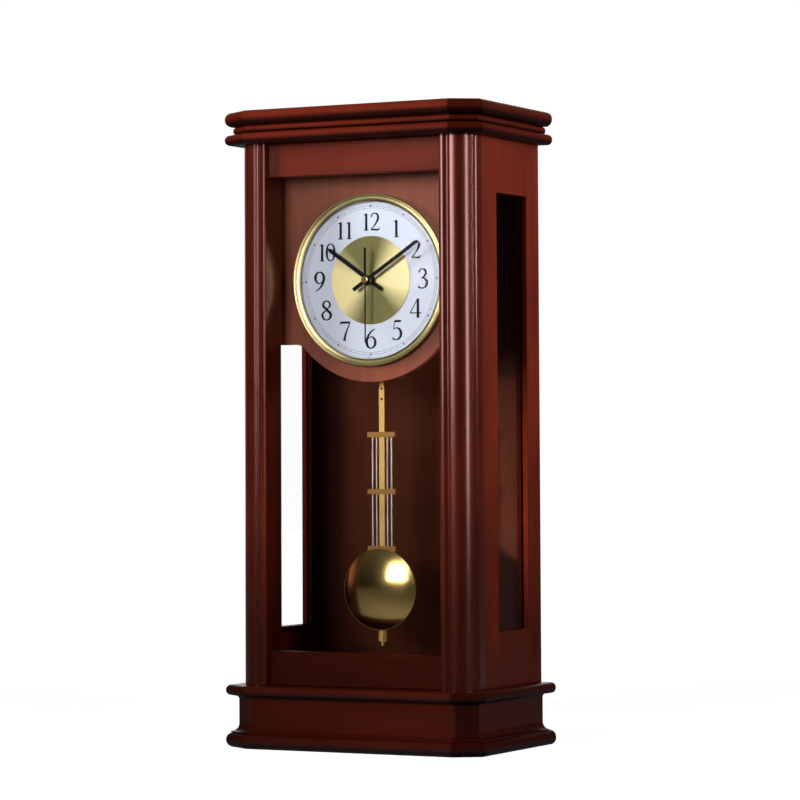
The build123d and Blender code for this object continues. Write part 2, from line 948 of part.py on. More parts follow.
knob_front = movement_back + knob_gap
knob_back = knob_front + knob_length
with BuildPart() as motion_wheel:
    round_bar(motion_axis, motion_arbor, bearing_end, knob_back - case_wall)
    pinion(
        motion_axis, centre, motion_pinion_teeth, hour_wheel_teeth, train_spacing,
        hour_layer, cannon_layer,
    )
    wheel(
        motion_axis, centre, motion_wheel_teeth, cannon_teeth, train_spacing,
        cannon_layer, cannon_layer + wheel_thickness,
    )
save(motion_wheel, "motion_wheel")

with BuildPart() as setting_knob:
    round_bar(motion_axis, knob_radius, knob_front, knob_back)
    with BuildSketch(facing(knob_back)):
        with Locations(motion_axis):
            with PolarLocations(knob_radius, knob_grooves):
                Circle(knob_grip)
    extrude(amount=knob_length, mode=Mode.SUBTRACT)
    round_bar(motion_axis, motion_arbor, knob_front, knob_back - case_wall, mode=Mode.SUBTRACT)
save(setting_knob, "setting_knob")

# Movement case, with its pillars, bearings and the moulded pin of the pendulum lever
pillar_x = movement_x - pillar_inset
pillars = (
    (-pillar_x, dial_z + pillar_above),
    (pillar_radius, dial_z + pillar_above + pillar_radius),
    (-pillar_x, dial_z - pillar_below),
    (pillar_x - pillar_radius * 3, dial_z - pillar_below - pillar_radius),
)
case_corners = [
    (side * (movement_x - corner_inset), z)
    for side in (-1, 1)
    for z in (movement_foot + corner_inset, movement_top - corner_inset)
]
lever_front = board_back + lever_setback
lever_back = lever_front + lever_depth
battery_z = dial_z + battery_rise
battery_y = case_floor + battery_floor_gap + battery_radius
contact_x = (battery_length + battery_nub) / 2
with BuildPart() as movement_front_case:
    block((-movement_x, movement_x), (board_back, parting), (movement_foot, movement_top))
    block(
        (-movement_x + case_wall, movement_x - case_wall),
        (case_floor, parting),
        (movement_foot + case_wall, movement_top - case_wall),
        mode=Mode.SUBTRACT,
    )
    for spot in pillars:
        round_bar(spot, pillar_radius, case_floor, bridge_front)
    for spot in case_corners:
        round_bar(spot, corner_boss, case_floor, parting)
        round_bar(
            spot, case_screw_radius + screw_slip,
            movement_back - case_screw_length - screw_tip_room, parting,
            mode=Mode.SUBTRACT,
        )
    for side in (-1, 1):
        block(
            (side * (contact_x + contact_thickness), side * (contact_x + contact_thickness + battery_rib)),
            (case_floor, battery_y + contact_size / 2),
            (battery_z - contact_size / 2, battery_z + contact_size / 2),
        )
    round_bar(lever_axis, lever_pin + case_wall, case_floor, lever_front - drive_gap)
    round_bar(lever_axis, lever_pin, case_floor, lever_back + case_wall)
    block(
        (-lever_half_width * 2, lever_half_width * 2),
        (lever_front - case_wall, parting),
        (movement_foot, movement_foot + case_wall),
        mode=Mode.SUBTRACT,
    )
    for spot, radius in ((third_axis, arbor_radius), (drive_axis, arbor_radius), (rotor_axis, rotor_arbor),
                         (motion_axis, motion_arbor)):
        round_bar(spot, radius + running_fit, bearing_end - running_fit, case_floor, mode=Mode.SUBTRACT)
    round_bar(centre, bush_flange, case_floor - bush_flange_thickness, case_floor, mode=Mode.SUBTRACT)
    round_bar(centre, bush_radius + running_fit, board_back, case_floor, mode=Mode.SUBTRACT)
save(movement_front_case, "movement_front_case")

with BuildPart() as movement_rear_case:
    block((-movement_x, movement_x), (parting, movement_back), (movement_foot, movement_top))
    block(
        (-movement_x + case_wall, movement_x - case_wall),
        (parting, rear_floor),
        (movement_foot + case_wall, movement_top - case_wall),
        mode=Mode.SUBTRACT,
    )
    for spot in case_corners:
        round_bar(spot, corner_boss, parting, rear_floor)
        round_bar(spot, case_screw_radius + screw_slip, parting, movement_back, mode=Mode.SUBTRACT)
    round_bar(lever_axis, lever_pin + case_wall, lever_back + drive_gap, rear_floor)
    round_bar(
        lever_axis, lever_pin + running_fit, lever_back + drive_gap, lever_back + case_wall + running_fit,
        mode=Mode.SUBTRACT,
    )
    block(
        (-lever_half_width * 2, lever_half_width * 2),
        (parting, lever_back + case_wall),
        (movement_foot, movement_foot + case_wall),
        mode=Mode.SUBTRACT,
    )
    block(
        (-contact_x, contact_x),
        (rear_floor, movement_back),
        (battery_z - battery_radius, battery_z + battery_radius),
        mode=Mode.SUBTRACT,
    )
    round_bar(motion_axis, motion_arbor + layer_gap, rear_floor, movement_back, mode=Mode.SUBTRACT)
save(movement_rear_case, "movement_rear_case")

with BuildPart() as case_screws:
    for spot in case_corners:
        round_bar(spot, case_screw_radius, movement_back - case_screw_length, movement_back)
        round_bar(spot, case_screw_head, movement_back, movement_back + screw_head_height)
save(case_screws, "case_screws")

# Stator, coil and the bridge that carries the rear bearings
stator_front = (magnet_front + magnet_back - stator_thickness) / 2
stator_back = stator_front + stator_thickness
stator_left = drive_axis[0] + arbor_radius + stator_arbor_gap
stator_right = movement_x - case_wall - stator_side_gap
stator_low = rotor_axis[1] - stator_below
stator_high = rotor_axis[1] + stator_above
core_left = stator_right - core_width
coil_low = stator_low + stator_yoke + coil_end_gap
coil_high = stator_high - stator_yoke - coil_end_gap
with BuildPart() as stator:
    block((stator_left, stator_right), (stator_front, stator_back), (stator_low, stator_high))
    block(
        (rotor_axis[0] + magnet_radius + stator_web, core_left),
        (stator_front, stator_back),
        (stator_low + stator_yoke, stator_high - stator_yoke),
        mode=Mode.SUBTRACT,
    )
    round_bar(rotor_axis, magnet_radius + stator_air, stator_front, stator_back, mode=Mode.SUBTRACT)
save(stator, "stator")

core_x = (core_left + stator_right) / 2
core_y = (stator_front + stator_back) / 2
with BuildPart() as motor_coil:
    block(
        (core_x - coil_half, core_x + coil_half),
        (core_y - coil_half, core_y + coil_half),
        (coil_low, coil_high),
    )
    block(
        (core_left - coil_slip, stator_right + coil_slip),
        (stator_front - coil_slip, stator_back + coil_slip),
        (coil_low, coil_high),
        mode=Mode.SUBTRACT,
    )
save(motor_coil, "motor_coil")

pad_x = stator_left + pad_radius
stator_pads = ((pad_x, stator_high - stator_yoke / 2), (pad_x, stator_low + stator_yoke / 2))
with BuildPart() as gear_bridge:
    block(
        (-movement_x + case_wall + bridge_margin, core_left - bridge_coil_room),
        (bridge_front, bridge_back),
        (dial_z - bridge_below, dial_z + bridge_above),
    )
    for spot in stator_pads:
        round_bar(spot, pad_radius, stator_back, bridge_front)
    for spot, radius in ((centre, second_shaft), (third_axis, arbor_radius), (drive_axis, arbor_radius),
                         (rotor_axis, rotor_arbor), (motion_axis, motion_arbor)):
        round_bar(spot, radius + running_fit, bridge_front, bridge_back, mode=Mode.SUBTRACT)
save(gear_bridge, "gear_bridge")

board_right = motion_axis[0] - board_knob_room
with BuildPart() as circuit_board:
    block(
        (-movement_x + case_wall + board_margin, board_right),
        (bridge_back, bridge_back + board_thickness),
        (dial_z - board_below, dial_z + board_above),
    )
save(circuit_board, "circuit_board")

crystal_y = bridge_back + board_thickness + crystal_radius
crystal_z = dial_z + crystal_rise
with BuildPart() as quartz_crystal:
    upright_rod(-train_spacing / 2, crystal_y, crystal_radius, crystal_z, crystal_z + crystal_length)
save(quartz_crystal, "quartz_crystal")

# Battery and its contacts
with BuildPart() as battery:
    with BuildSketch(Plane.YZ.offset(-contact_x)):
        with Locations((battery_y, battery_z)):
            Circle(battery_radius)
    extrude(amount=battery_length)
    with BuildSketch(Plane.YZ.offset(contact_x - battery_nub)):
        with Locations((battery_y, battery_z)):
            Circle(battery_nub_radius)
    extrude(amount=battery_nub)
save(battery, "battery")

with BuildPart() as battery_contacts:
    for side in (-1, 1):
        block(
            (side * contact_x, side * (contact_x + contact_thickness)),
            (battery_y - contact_size / 2, battery_y + contact_size / 2),
            (battery_z - contact_size / 2, battery_z + contact_size / 2),
        )
save(battery_contacts, "battery_contacts")

# Pendulum lever with its hook, the magnet on it and the coil that drives it
rod_y = lever_front + lever_depth / 2
rod_front = rod_y - rod_thickness / 2
rod_back = rod_y + rod_thickness / 2
hook_z = lever_z - hook_drop
blade_front = rod_back + drive_gap
magnet_spot = (0, lever_z - magnet_drop)
with BuildPart() as pendulum_lever:
    round_bar(lever_axis, lever_hub, lever_front, lever_back)
    block(
        (-lever_half_width, lever_half_width),
        (lever_front, lever_back),
        (lever_z - lever_reach + case_wall, lever_z),
    )
    block(
        (-rod_width / 2, rod_width / 2),
        (blade_front, lever_back),
        (hook_z - rod_width / 2, lever_z - lever_reach + case_wall),
    )
    round_bar((0, hook_z), hook_radius, rod_front - rod_thickness, lever_back)
    round_bar(lever_axis, lever_pin + running_fit, lever_front, lever_back, mode=Mode.SUBTRACT)
save(pendulum_lever, "pendulum_lever")

with BuildPart() as drive_magnet:
    round_bar(magnet_spot, drive_magnet_radius, lever_back, lever_back + drive_magnet_thickness)
save(drive_magnet, "drive_magnet")

with BuildPart() as pendulum_coil:
    round_bar(magnet_spot, drive_coil_radius, lever_back + drive_magnet_thickness + drive_gap, rear_floor)
    round_bar(
        magnet_spot, drive_coil_bore, lever_back + drive_magnet_thickness + drive_gap, rear_floor,
        mode=Mode.SUBTRACT,
    )
save(pendulum_coil, "pendulum_coil")

# Pendulum rod: narrow neck, flat to below the middle of the bob and threaded at the foot
bob_foot = bob_z - bob_radius
nut_top = bob_foot - nut_gap * 2
flat_end = bob_z - thread_top
thread_end = nut_top - nut_height - thread_tip
upper_hole = hook_z - upper_hole_drop
neck_foot = hook_z - neck_drop
with BuildPart() as pendulum_rod:
    with BuildSketch(facing(rod_back)) as flat:
        with BuildLine():
            Polyline(
                (-rod_width / 2, flat_end),
                (rod_width / 2, flat_end),
                (rod_width / 2, neck_foot - neck_taper),
                (neck_width / 2, neck_foot),
                (neck_width / 2, hook_z),
                (-neck_width / 2, hook_z),
                (-neck_width / 2, neck_foot),
                (-rod_width / 2, neck_foot - neck_taper),
                close=True,
            )
        make_face()
        with Locations((0, hook_z)):
            Circle(rod_eye)
        with Locations((0, hook_z)):
            Circle(hook_radius + hook_slip, mode=Mode.SUBTRACT)
        with Locations((0, upper_hole), (0, upper_hole - hole_pitch)):
            Circle(rod_hole, mode=Mode.SUBTRACT)
    extrude(amount=rod_thickness)
    upright_rod(0, rod_y, thread_radius, thread_end, flat_end + rod_thickness)
save(pendulum_rod, "pendulum_rod")

# Cross bars and the rods of the grid
upper_bar = lever_z - upper_bar_drop
lower_bar = bob_z + bob_radius
bar_levels = (lower_bar, (lower_bar + upper_bar) / 2, upper_bar)
grid_places = (-grid_outer, -grid_inner, grid_inner, grid_outer)
with BuildPart() as cross_bars:
    for level in bar_levels:
        low = level - cross_bar_height / 2
        high = level + cross_bar_height / 2
        block(
            (-cross_bar_width / 2, cross_bar_width / 2),
            (rod_y - cross_bar_depth / 2, rod_y + cross_bar_depth / 2),
            (low, high),
        )
        block(
            (-rod_width / 2 - grid_slip, rod_width / 2 + grid_slip),
            (rod_front - grid_slip, rod_back + grid_slip),
            (low, high),
            mode=Mode.SUBTRACT,
        )
        for x in grid_places:
            upright_rod(x, rod_y, grid_radius + grid_slip, low, high, mode=Mode.SUBTRACT)
save(cross_bars, "cross_bars")

with BuildPart() as grid_rods:
    for x in grid_places:
        upright_rod(
            x, rod_y, grid_radius, lower_bar - cross_bar_height / 2, upper_bar + cross_bar_height / 2
        )
save(grid_rods, "grid_rods")

# Bob: domed shell on a back plate that slides on the rod and stands on the nut
plate_back = rod_y - cross_bar_depth / 2 - bob_front_gap
plate_front = plate_back - bob_back_thickness
rim_front = plate_front - bob_rim
dome_radius = bob_radius - bob_shell / 2
dome_apex = rim_front - bob_dome_height
bob_axis = Axis((0, 0, bob_z), (0, 1, 0))
with BuildPart() as bob_dome:
    with BuildSketch(Plane.XY.offset(bob_z)):
        with BuildLine():
            Line((0, dome_apex), (0, dome_apex + bob_shell))
            ThreePointArc(
                (0, dome_apex + bob_shell),
                dome_middle(dome_radius - bob_shell, plate_front, dome_apex + bob_shell),
                (dome_radius - bob_shell, plate_front),
            )
            Polyline(
                (dome_radius - bob_shell, plate_front),
                (bob_radius, plate_front),
                (bob_radius, rim_front),
                (dome_radius, rim_front),
            )
            ThreePointArc(
                (dome_radius, rim_front),
                dome_middle(dome_radius, rim_front, dome_apex),
                (0, dome_apex),
            )
        make_face()
    revolve(axis=bob_axis)
save(bob_dome, "bob_dome")

guide_back = rod_y + cross_bar_depth / 2
guide_low = bob_z - guide_drop
guide_x = (-guide_width / 2, guide_width / 2)
with BuildPart() as bob_back:
    round_bar((0, bob_z), dome_radius, plate_front, plate_back)
    block(guide_x, (plate_back, guide_back), (guide_low, guide_low + guide_height))
    block(
        (-rod_width / 2 - guide_slip, rod_width / 2 + guide_slip),
        (rod_front - guide_slip, rod_back + guide_slip),
        (guide_low, guide_low + guide_height),
        mode=Mode.SUBTRACT,
    )
    block(guide_x, (plate_back, guide_back), (nut_top + nut_gap, bob_foot + foot_height))
    upright_rod(
        0, rod_y, thread_radius + guide_slip, nut_top + nut_gap, bob_foot + foot_height, mode=Mode.SUBTRACT
    )
save(bob_back, "bob_back")

with BuildPart() as rating_nut:
    upright_rod(0, rod_y, nut_radius, nut_top - nut_height, nut_top)
    with BuildSketch(Plane.XY.offset(nut_top - nut_height)):
        with Locations((0, rod_y)):
            with PolarLocations(nut_radius, nut_grooves):
                Circle(nut_groove)
    extrude(amount=nut_height, mode=Mode.SUBTRACT)
    upright_rod(0, rod_y, thread_radius + running_fit, nut_top - nut_height, nut_top, mode=Mode.SUBTRACT)
save(rating_nut, "rating_nut")
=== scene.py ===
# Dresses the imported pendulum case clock: finishes, dial printing, floor, lights and camera.
import math

import bpy
from mathutils import Matrix, Vector


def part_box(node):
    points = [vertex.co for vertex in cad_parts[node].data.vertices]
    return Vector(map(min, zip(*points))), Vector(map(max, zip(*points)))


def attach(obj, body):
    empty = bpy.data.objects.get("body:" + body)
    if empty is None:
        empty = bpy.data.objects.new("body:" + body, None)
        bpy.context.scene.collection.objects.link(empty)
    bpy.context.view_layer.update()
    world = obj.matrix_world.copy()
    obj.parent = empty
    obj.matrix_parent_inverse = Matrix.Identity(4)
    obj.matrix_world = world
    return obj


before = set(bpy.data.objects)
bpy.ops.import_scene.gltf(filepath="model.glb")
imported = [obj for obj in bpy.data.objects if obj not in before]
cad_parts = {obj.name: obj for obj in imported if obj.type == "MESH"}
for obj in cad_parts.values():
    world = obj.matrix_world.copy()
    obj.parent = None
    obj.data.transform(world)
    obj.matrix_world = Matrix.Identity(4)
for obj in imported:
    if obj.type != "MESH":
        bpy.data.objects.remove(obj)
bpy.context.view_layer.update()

bl_info = {
    "name": "Pendulum Case Clock",
    "version": (1, 0, 0),
    "blender": (4, 5, 0),
    "location": "3D View > Sidebar > Clock",
    "description": "Finishes, dial printing and studio for a pendulum case clock",
    "category": "Object",
}

# Wooden pieces that share a finish
POSTS = ("left_corner_post", "right_corner_post")
INNER_STRIPS = ("glass_stops", "dial_cleats")
SIDE_BOARDS = ("left_side_panel", "right_side_panel")
MOULDINGS = (
    "crown_top_board", "crown_band", "crown_lower_board",
    "base_top_board", "base_bottom_board", "frieze_corners",
)
RETURN_BOARDS = ("frieze_left", "frieze_right")

# Pieces of the movement and the back that share a finish
WHEELS = (
    "hour_wheel", "centre_wheel", "third_wheel", "seconds_wheel", "intermediate_wheel", "motion_wheel",
)
STEEL_FITTINGS = (
    "hanger_plate", "back_screws", "case_screws", "battery_contacts", "stator", "quartz_crystal",
)

# Pen strokes of the figures: (across, up, width) along each stroke, for a figure one unit tall
FIGURES = {
    "0": [[(0, 0.985, 0.059), (-0.25, 0.5, 0.165), (0, 0.015, 0.059), (0.25, 0.5, 0.165), (0, 0.985, 0.059)]],
    "1": [
        [(0.0, 0.02, 0.165), (0.0, 0.5, 0.152), (0.0, 0.98, 0.152)],
        [(0.0, 0.975, 0.079), (-0.07, 0.925, 0.059), (-0.17, 0.9, 0.046)],
        [(-0.17, 0.018, 0.046), (0.0, 0.022, 0.066), (0.17, 0.018, 0.046)],
    ],
    "2": [
        [
            (-0.24, 0.77, 0.099), (-0.17, 0.92, 0.066), (0.0, 0.985, 0.059), (0.17, 0.9, 0.119),
            (0.215, 0.73, 0.152), (0.12, 0.48, 0.112), (-0.08, 0.22, 0.066), (-0.26, 0.05, 0.053),
        ],
        [(-0.26, 0.045, 0.092), (0.0, 0.04, 0.106), (0.25, 0.045, 0.092), (0.3, 0.16, 0.046)],
    ],
    "3": [
        [
            (-0.22, 0.82, 0.092), (-0.13, 0.95, 0.059), (0.0, 0.985, 0.059), (0.15, 0.91, 0.112),
            (0.18, 0.76, 0.132), (0.08, 0.61, 0.079), (-0.07, 0.55, 0.046),
        ],
        [
            (-0.07, 0.55, 0.046), (0.12, 0.5, 0.106), (0.235, 0.3, 0.158), (0.15, 0.08, 0.112),
            (-0.03, 0.015, 0.059), (-0.18, 0.05, 0.079), (-0.25, 0.12, 0.112),
        ],
    ],
    "4": [
        [(0.11, 0.98, 0.053), (-0.1, 0.62, 0.046), (-0.32, 0.26, 0.053)],
        [(-0.33, 0.255, 0.059), (0.0, 0.255, 0.059), (0.31, 0.255, 0.059)],
        [(0.12, 0.98, 0.139), (0.12, 0.5, 0.145), (0.12, 0.01, 0.158)],
    ],
    "5": [
        [(-0.13, 0.955, 0.112), (0.05, 0.955, 0.112), (0.24, 0.965, 0.112)],
        [(-0.13, 0.96, 0.046), (-0.155, 0.76, 0.046), (-0.18, 0.55, 0.046)],
        [
            (-0.18, 0.55, 0.046), (-0.02, 0.615, 0.059), (0.16, 0.53, 0.125), (0.235, 0.32, 0.158),
            (0.14, 0.09, 0.112), (-0.04, 0.015, 0.059), (-0.18, 0.05, 0.079), (-0.25, 0.11, 0.106),
        ],
    ],
    "6": [
        [
            (0.24, 0.975, 0.046), (0.02, 0.86, 0.079), (-0.19, 0.56, 0.132), (-0.245, 0.29, 0.158),
            (-0.15, 0.07, 0.106), (0.0, 0.015, 0.059), (0.16, 0.08, 0.112), (0.245, 0.29, 0.158),
            (0.17, 0.51, 0.106), (0.02, 0.585, 0.053), (-0.14, 0.51, 0.046), (-0.2, 0.42, 0.046),
        ],
    ],
    "7": [
        [(-0.27, 0.945, 0.112), (0.0, 0.945, 0.112), (0.27, 0.95, 0.106)],
        [(-0.27, 0.97, 0.046), (-0.285, 0.9, 0.046), (-0.29, 0.82, 0.046)],
        [(0.275, 0.945, 0.059), (0.1, 0.55, 0.086), (0.0, 0.28, 0.119), (-0.06, 0.015, 0.158)],
    ],
    "8": [
        [
            (0.0, 0.985, 0.059), (-0.2, 0.79, 0.132), (0.0, 0.55, 0.125), (0.245, 0.25, 0.152),
            (0.0, 0.015, 0.059), (-0.245, 0.25, 0.132), (0.0, 0.55, 0.059), (0.2, 0.79, 0.112),
            (0.0, 0.985, 0.059),
        ],
    ],
}
FIGURES["9"] = [[(-across, 1 - up, width) for across, up, width in stroke] for stroke in FIGURES["6"]]
CLOSED_FIGURES = ("0", "8")
SHORT_FIGURES = ("0", "1", "2")

# Print, beside the height of a figure: distance between two figures, and mean radius of the pen
FIGURE_PITCH = 0.56
MEAN_PEN = 0.06

# Turn that stands a flat shape up to face the front
FACING_FRONT = (math.radians(90), 0, 0)

# Marks of the minute track: place and size beside its width, and width of a dash beside its length
DOT_PLACE, DOT_SIZE = 0.85, 0.42
DASH_PLACE, DASH_SIZE, DASH_WIDTH = 0.5, 0.5, 0.12

# Grain of the wood: the way it runs, by the squeeze along each axis, and its patterns per metre
UPRIGHT = (1, 1, 0.05)
CROSSWAYS = (0.05, 1, 1)
SIDEWAYS = (1, 0.05, 1)
BAND_SCALE, STREAK_SCALE, PORE_SCALE, STAIN_SCALE = 26.0, 170.0, 620.0, 9.0
PORE_SHIFT = (0.31, 0.17, 0.23)

# Stain: shares of the bands, streaks and clouds in the figure, the runs drawn out, and depth in the pores
BAND_SHARE, STREAK_SHARE, CLOUD_SHARE = 0.45, 0.2, 0.55
FIGURE_RUN = (0.40, 0.82)
PORE_RUN = (0.56, 0.72)
PORE_DEPTH = 0.25

# Surface of the wood: height of its grain and ease of its edges in metres, its roughness and its varnish
GRAIN_RELIEF, GRAIN_STRENGTH = 0.00002, 0.3
EDGE_EASE = 0.0009
WOOD_ROUGHNESS, STREAK_ROUGHNESS = 0.36, 0.33
VARNISH_ROUGHNESS, VARNISH_INDEX = 0.15, 1.6

# Mouldings: half the width of a mitre's soft line in metres, slopes of flat tops, and slopes of undersides
# where shade is painted
MITRE_BLUR = 0.001
FLAT_TOP = (0.8, 0.98)
PAINTED_SHADE_SLOPES = (-0.45, 0.15)

# Polished metal: its dull clouds and its rubbing marks, per metre, with the marks' height in metres
DULL_SCALE, DULL_SHARE, DULL_ROUGHNESS = 60.0, 0.9, 0.3
RUB_SCALE, RUB_RELIEF, RUB_STRENGTH, RUB_ROUGHNESS = 900.0, 0.000004, 0.4, 0.35

# Moulded and painted skins: grain and clouds per metre, the grain's share of the colour and its height
SKIN_SCALE, SKIN_CLOUD_SCALE, SKIN_SHARE = 1400.0, 45.0, 0.4
SKIN_RELIEF, SKIN_STRENGTH, SKIN_ROUGHNESS = 0.00003, 0.3, 0.1
LACQUER_ROUGHNESS = 0.08

# Glass: index and colour of the panes and of the lens, their polish, and their smears per metre
PANE_INDEX, LENS_INDEX = 1.1, 1.08
PANE_TONE = (1.0, 1.0, 1.0)
LENS_TONE = (0.99, 0.99, 0.995)
GLASS_ROUGHNESS = 0.02
SMEAR_SCALE, SMEAR_SHARE = 14.0, 0.15

# Metal worked in rings: clouds per metre, and the shares of its rings and clouds in its wear
RING_CLOUD_SCALE, RING_CLOUD_ROUGHNESS = 70.0, 0.06
RING_WEAR, RING_SHARE, RING_CLOUD_SHARE = 0.8, 0.12, 0.08

# Brushed gold with painted sheen: bearing of its painted bright fans from twelve, the run across them, and
# how the rings fray them
PAINTED_FAN_BEARING = math.radians(78)
PAINTED_FAN_RUN = (-0.45, 0.75)
PAINTED_FAN_FRAY = 0.3

# Face of the bob: its radius of curvature, and how far from its axis the curve alone shades it, in metres
BOB_CURVE = 0.098
BOB_POLE = (0.0029, 0.0036)

# Floor and backdrop: size in metres, paper's light from near to far, and where mirrors meet the backdrop
FLOOR_RADIUS, FLOOR_SIDES = 9.0, 96
FIBRE_SCALE, FIBRE_SHARE, PAPER_ROUGHNESS = 60.0, 0.98, 0.9
PAPER_NEAR, PAPER_RISE = 0.88, 0.12
PAPER_RUN = (0.25, 1.6)
PAPER_MIRRORED = 0.02
BACKDROP_BEARING = (-0.455, 0.89, 0.0)
BACKDROP_EDGE = (0.80, 0.95)

# Walls of the studio, as polished surfaces show them: slopes and levels of the low and the high part
WALL_RUN = (0.1, 0.6)
WALL_LEVELS = (0.3, 2.0)

# Softboxes: degrees round from the front and up, metres away, face and target in metres, and beam in degrees
HIGH, MIDDLE, INSIDE = (0, 0, 0.82), (0, 0, 0.6), (0.06, 0, 0.23)
SOFTBOXES = {
    "front": {"turn": -3.5, "lift": 8, "reach": 1.52, "face": (0.62, 1.3), "target": HIGH, "beam": 44},
    "left": {"turn": -62, "lift": 5, "reach": 1.6, "face": (0.45, 0.8), "target": HIGH, "beam": 46},
    "right": {"turn": 66, "lift": 4, "reach": 1.5, "face": (0.22, 1.4), "target": HIGH, "beam": 52},
    "strip": {"turn": 110, "lift": 4, "reach": 1.5, "face": (0.12, 0.9), "target": HIGH, "beam": 60},
    "rear": {"turn": 120, "lift": 2, "reach": 0.75, "face": (0.4, 0.8), "target": MIDDLE, "beam": 60},
    "inner": {"turn": -43, "lift": 1, "reach": 1.5, "face": (0.06, 0.13), "target": INSIDE, "beam": 9},
}

# Softboxes that polished surfaces don't show
UNMIRRORED = ("left", "rear", "inner")

# Camera of the photograph: place in metres, angles in radians, lens and sensor in millimetres, and shift
CAMERA_PLACE = (1.4695, -2.7528, 0.2741)
CAMERA_TURN, CAMERA_LIFT, CAMERA_ROLL = math.radians(27.12), math.radians(-2.76), math.radians(-0.30)
CAMERA_LENS, CAMERA_SENSOR = 148.83, 36.0
CAMERA_SHIFT = (-0.0513, -0.1321)
CAMERA_REACH = 60.0


def hue(label, description, default):
    """A colour that a user may change."""
    return bpy.props.FloatVectorProperty(
        name=label, description=description, subtype="COLOR", size=3, min=0.0, max=1.0, default=default
    )


def length(label, description, default):
    """A length that a user may change, in metres."""
    return bpy.props.FloatProperty(
        name=label, description=description, default=default, min=0.0, unit="LENGTH"
    )


def share(label, description, default):
    """A share from none to all that a user may change."""
    return bpy.props.FloatProperty(
        name=label, description=description, default=default, min=0.0, max=1.0, subtype="FACTOR"
    )


def power(label, description, default):
    """The power of a lamp that a user may change."""
    return bpy.props.FloatProperty(
        name=label, description=description, default=default, min=0.0, unit="POWER"
    )


class ClockWoodwork(bpy.types.PropertyGroup):
    """Stain and varnish of the case, with shade painted into the stain in places."""

    stain_dark: hue("Dark stain", "Stain in the darker bands of the grain", (0.045, 0.0046, 0.0018))
    stain_light: hue("Light stain", "Stain in the paler bands of the grain", (0.116, 0.0130, 0.0048))
    # How dark the posts are stained; on the low rail the same darkening is painted shade
    post_share: share("Post depth", "How dark the posts and the low rail are beside the other boards", 0.6)
    # Darker stain of the side friezes, which also stands in for shade
    return_share: share("Return depth", "How dark the friezes are along the sides", 0.55)
    # Painted shade inside the case: how dark the back and the inner strips are painted
    back_share: share("Back depth", "How dark the back and inner strips are beside the boards in front", 0.30)
    veneer_dark: hue("Dark veneer", "Darker bands of the dial board and the back", (0.108, 0.0235, 0.0105))
    veneer_light: hue("Light veneer", "Paler bands of the dial board and the back", (0.230, 0.058, 0.027))
    pore: hue("Pores", "Stain that has sunk into the pores", (0.024, 0.0028, 0.0012))
    # Painted shade: how dark the undersides of the mouldings are painted
    under_share: share("Shade depth", "How dark the undersides of the mouldings are", 0.12)
    gloss: share("Gloss", "Weight of the clear varnish in front", 0.4)
    side_gloss: share("Side gloss", "Weight of the clear varnish on the sides, friezes and back", 0.15)
    post_sheen: share("Post sheen", "Shine of the varnish on the posts", 0.72)
    post_blur: share("Post blur", "Roughness of the varnish on the posts", 0.18)
    post_glow: hue("Post glow", "Colour of the lights on the varnish of the posts", (1.0, 0.50, 0.46))
    veneer_sheen: share("Veneer sheen", "Broad shine of the dial board", 0.25)
    rail_sheen: share("Rail sheen", "Broad shine of the top rail", 0.11)
    round_sheen: share("Moulding sheen", "Broad shine of the mouldings, sides, friezes and back", 0.03)


class ClockDial(bpy.types.PropertyGroup):
    """Paint, print and brushed disc of the dial, with a sheen of two bright fans painted on the disc."""

    paint: hue("Paint", "White enamel of the dial", (0.54, 0.575, 0.66))
    ink: hue("Ink", "Ink of the figures and the minute track", (0.006, 0.008, 0.014))
    figure_height: length("Figure height", "Height of the figures 0, 1 and 2", 0.0163)
    tall_figures: bpy.props.FloatProperty(
        name="Tall figures", description="Height of the figures 3 to 9 beside the others",
        default=1.13, min=1.0,
    )
    figure_ring: length("Figure ring", "Radius of the circle through the middles of the figures", 0.0548)
    track_radius: length("Track radius", "Radius of the inner line of the minute track", 0.0678)
    track_width: length("Track width", "Distance between the two lines of the minute track", 0.0021)
    ink_depth: length("Ink depth", "Height of the ink above the paint", 0.00012)
    # Painted sheen of the disc: gold of its painted bright fans, and the painted shade between them
    disc: hue("Brushed disc", "Gold of the bright fans of the disc", (1.0, 0.86, 0.42))
    disc_shade: hue("Disc shade", "Gold of the disc between its bright fans", (0.15, 0.14, 0.045))


class ClockMetal(bpy.types.PropertyGroup):
    """Metals of the bezel, hands and pendulum."""

    # Painted sheen of the bezel: gold of its painted bright fans, and the painted shade between them
    gilt: hue("Gilt", "Gilding of the bezel", (1.0, 0.83, 0.42))
    gilt_shade: hue("Gilt shade", "Gilding of the bezel between its bright fans", (0.24, 0.20, 0.08))
    rod_gilt: hue("Rod gilt", "Gilding of the pendulum rod", (0.96, 0.60, 0.19))
    bar_gilt: hue("Bar gilt", "Gilding of the bars across the rod", (0.48, 0.245, 0.07))
    brass: hue("Brass", "Polished brass of the bob and the cap of the hands", (0.80, 0.54, 0.19))
    steel: hue("Steel", "Polished steel of the grid rods and the fittings", (0.70, 0.60, 0.52))
    black: hue("Black lacquer", "Lacquer of the hands", (0.004, 0.004, 0.0045))


class ClockMovement(bpy.types.PropertyGroup):
    """Plastics and metals of the movement."""

    moulding: hue("Moulding", "Plastic of the movement's case, the knob and the lever", (0.022, 0.022, 0.024))
    wheels: hue("Wheels", "Plastic of the wheels and their bridge", (0.78, 0.75, 0.66))
    copper: hue("Copper", "Wire of the coils", (0.70, 0.30, 0.14))
    board: hue("Board", "Lacquer of the circuit board", (0.025, 0.13, 0.045))
    wrap: hue("Wrap", "Wrap of the battery", (0.05, 0.055, 0.065))
    magnet: hue("Magnet", "Ground magnets of the rotor and the lever", (0.3, 0.3, 0.32))


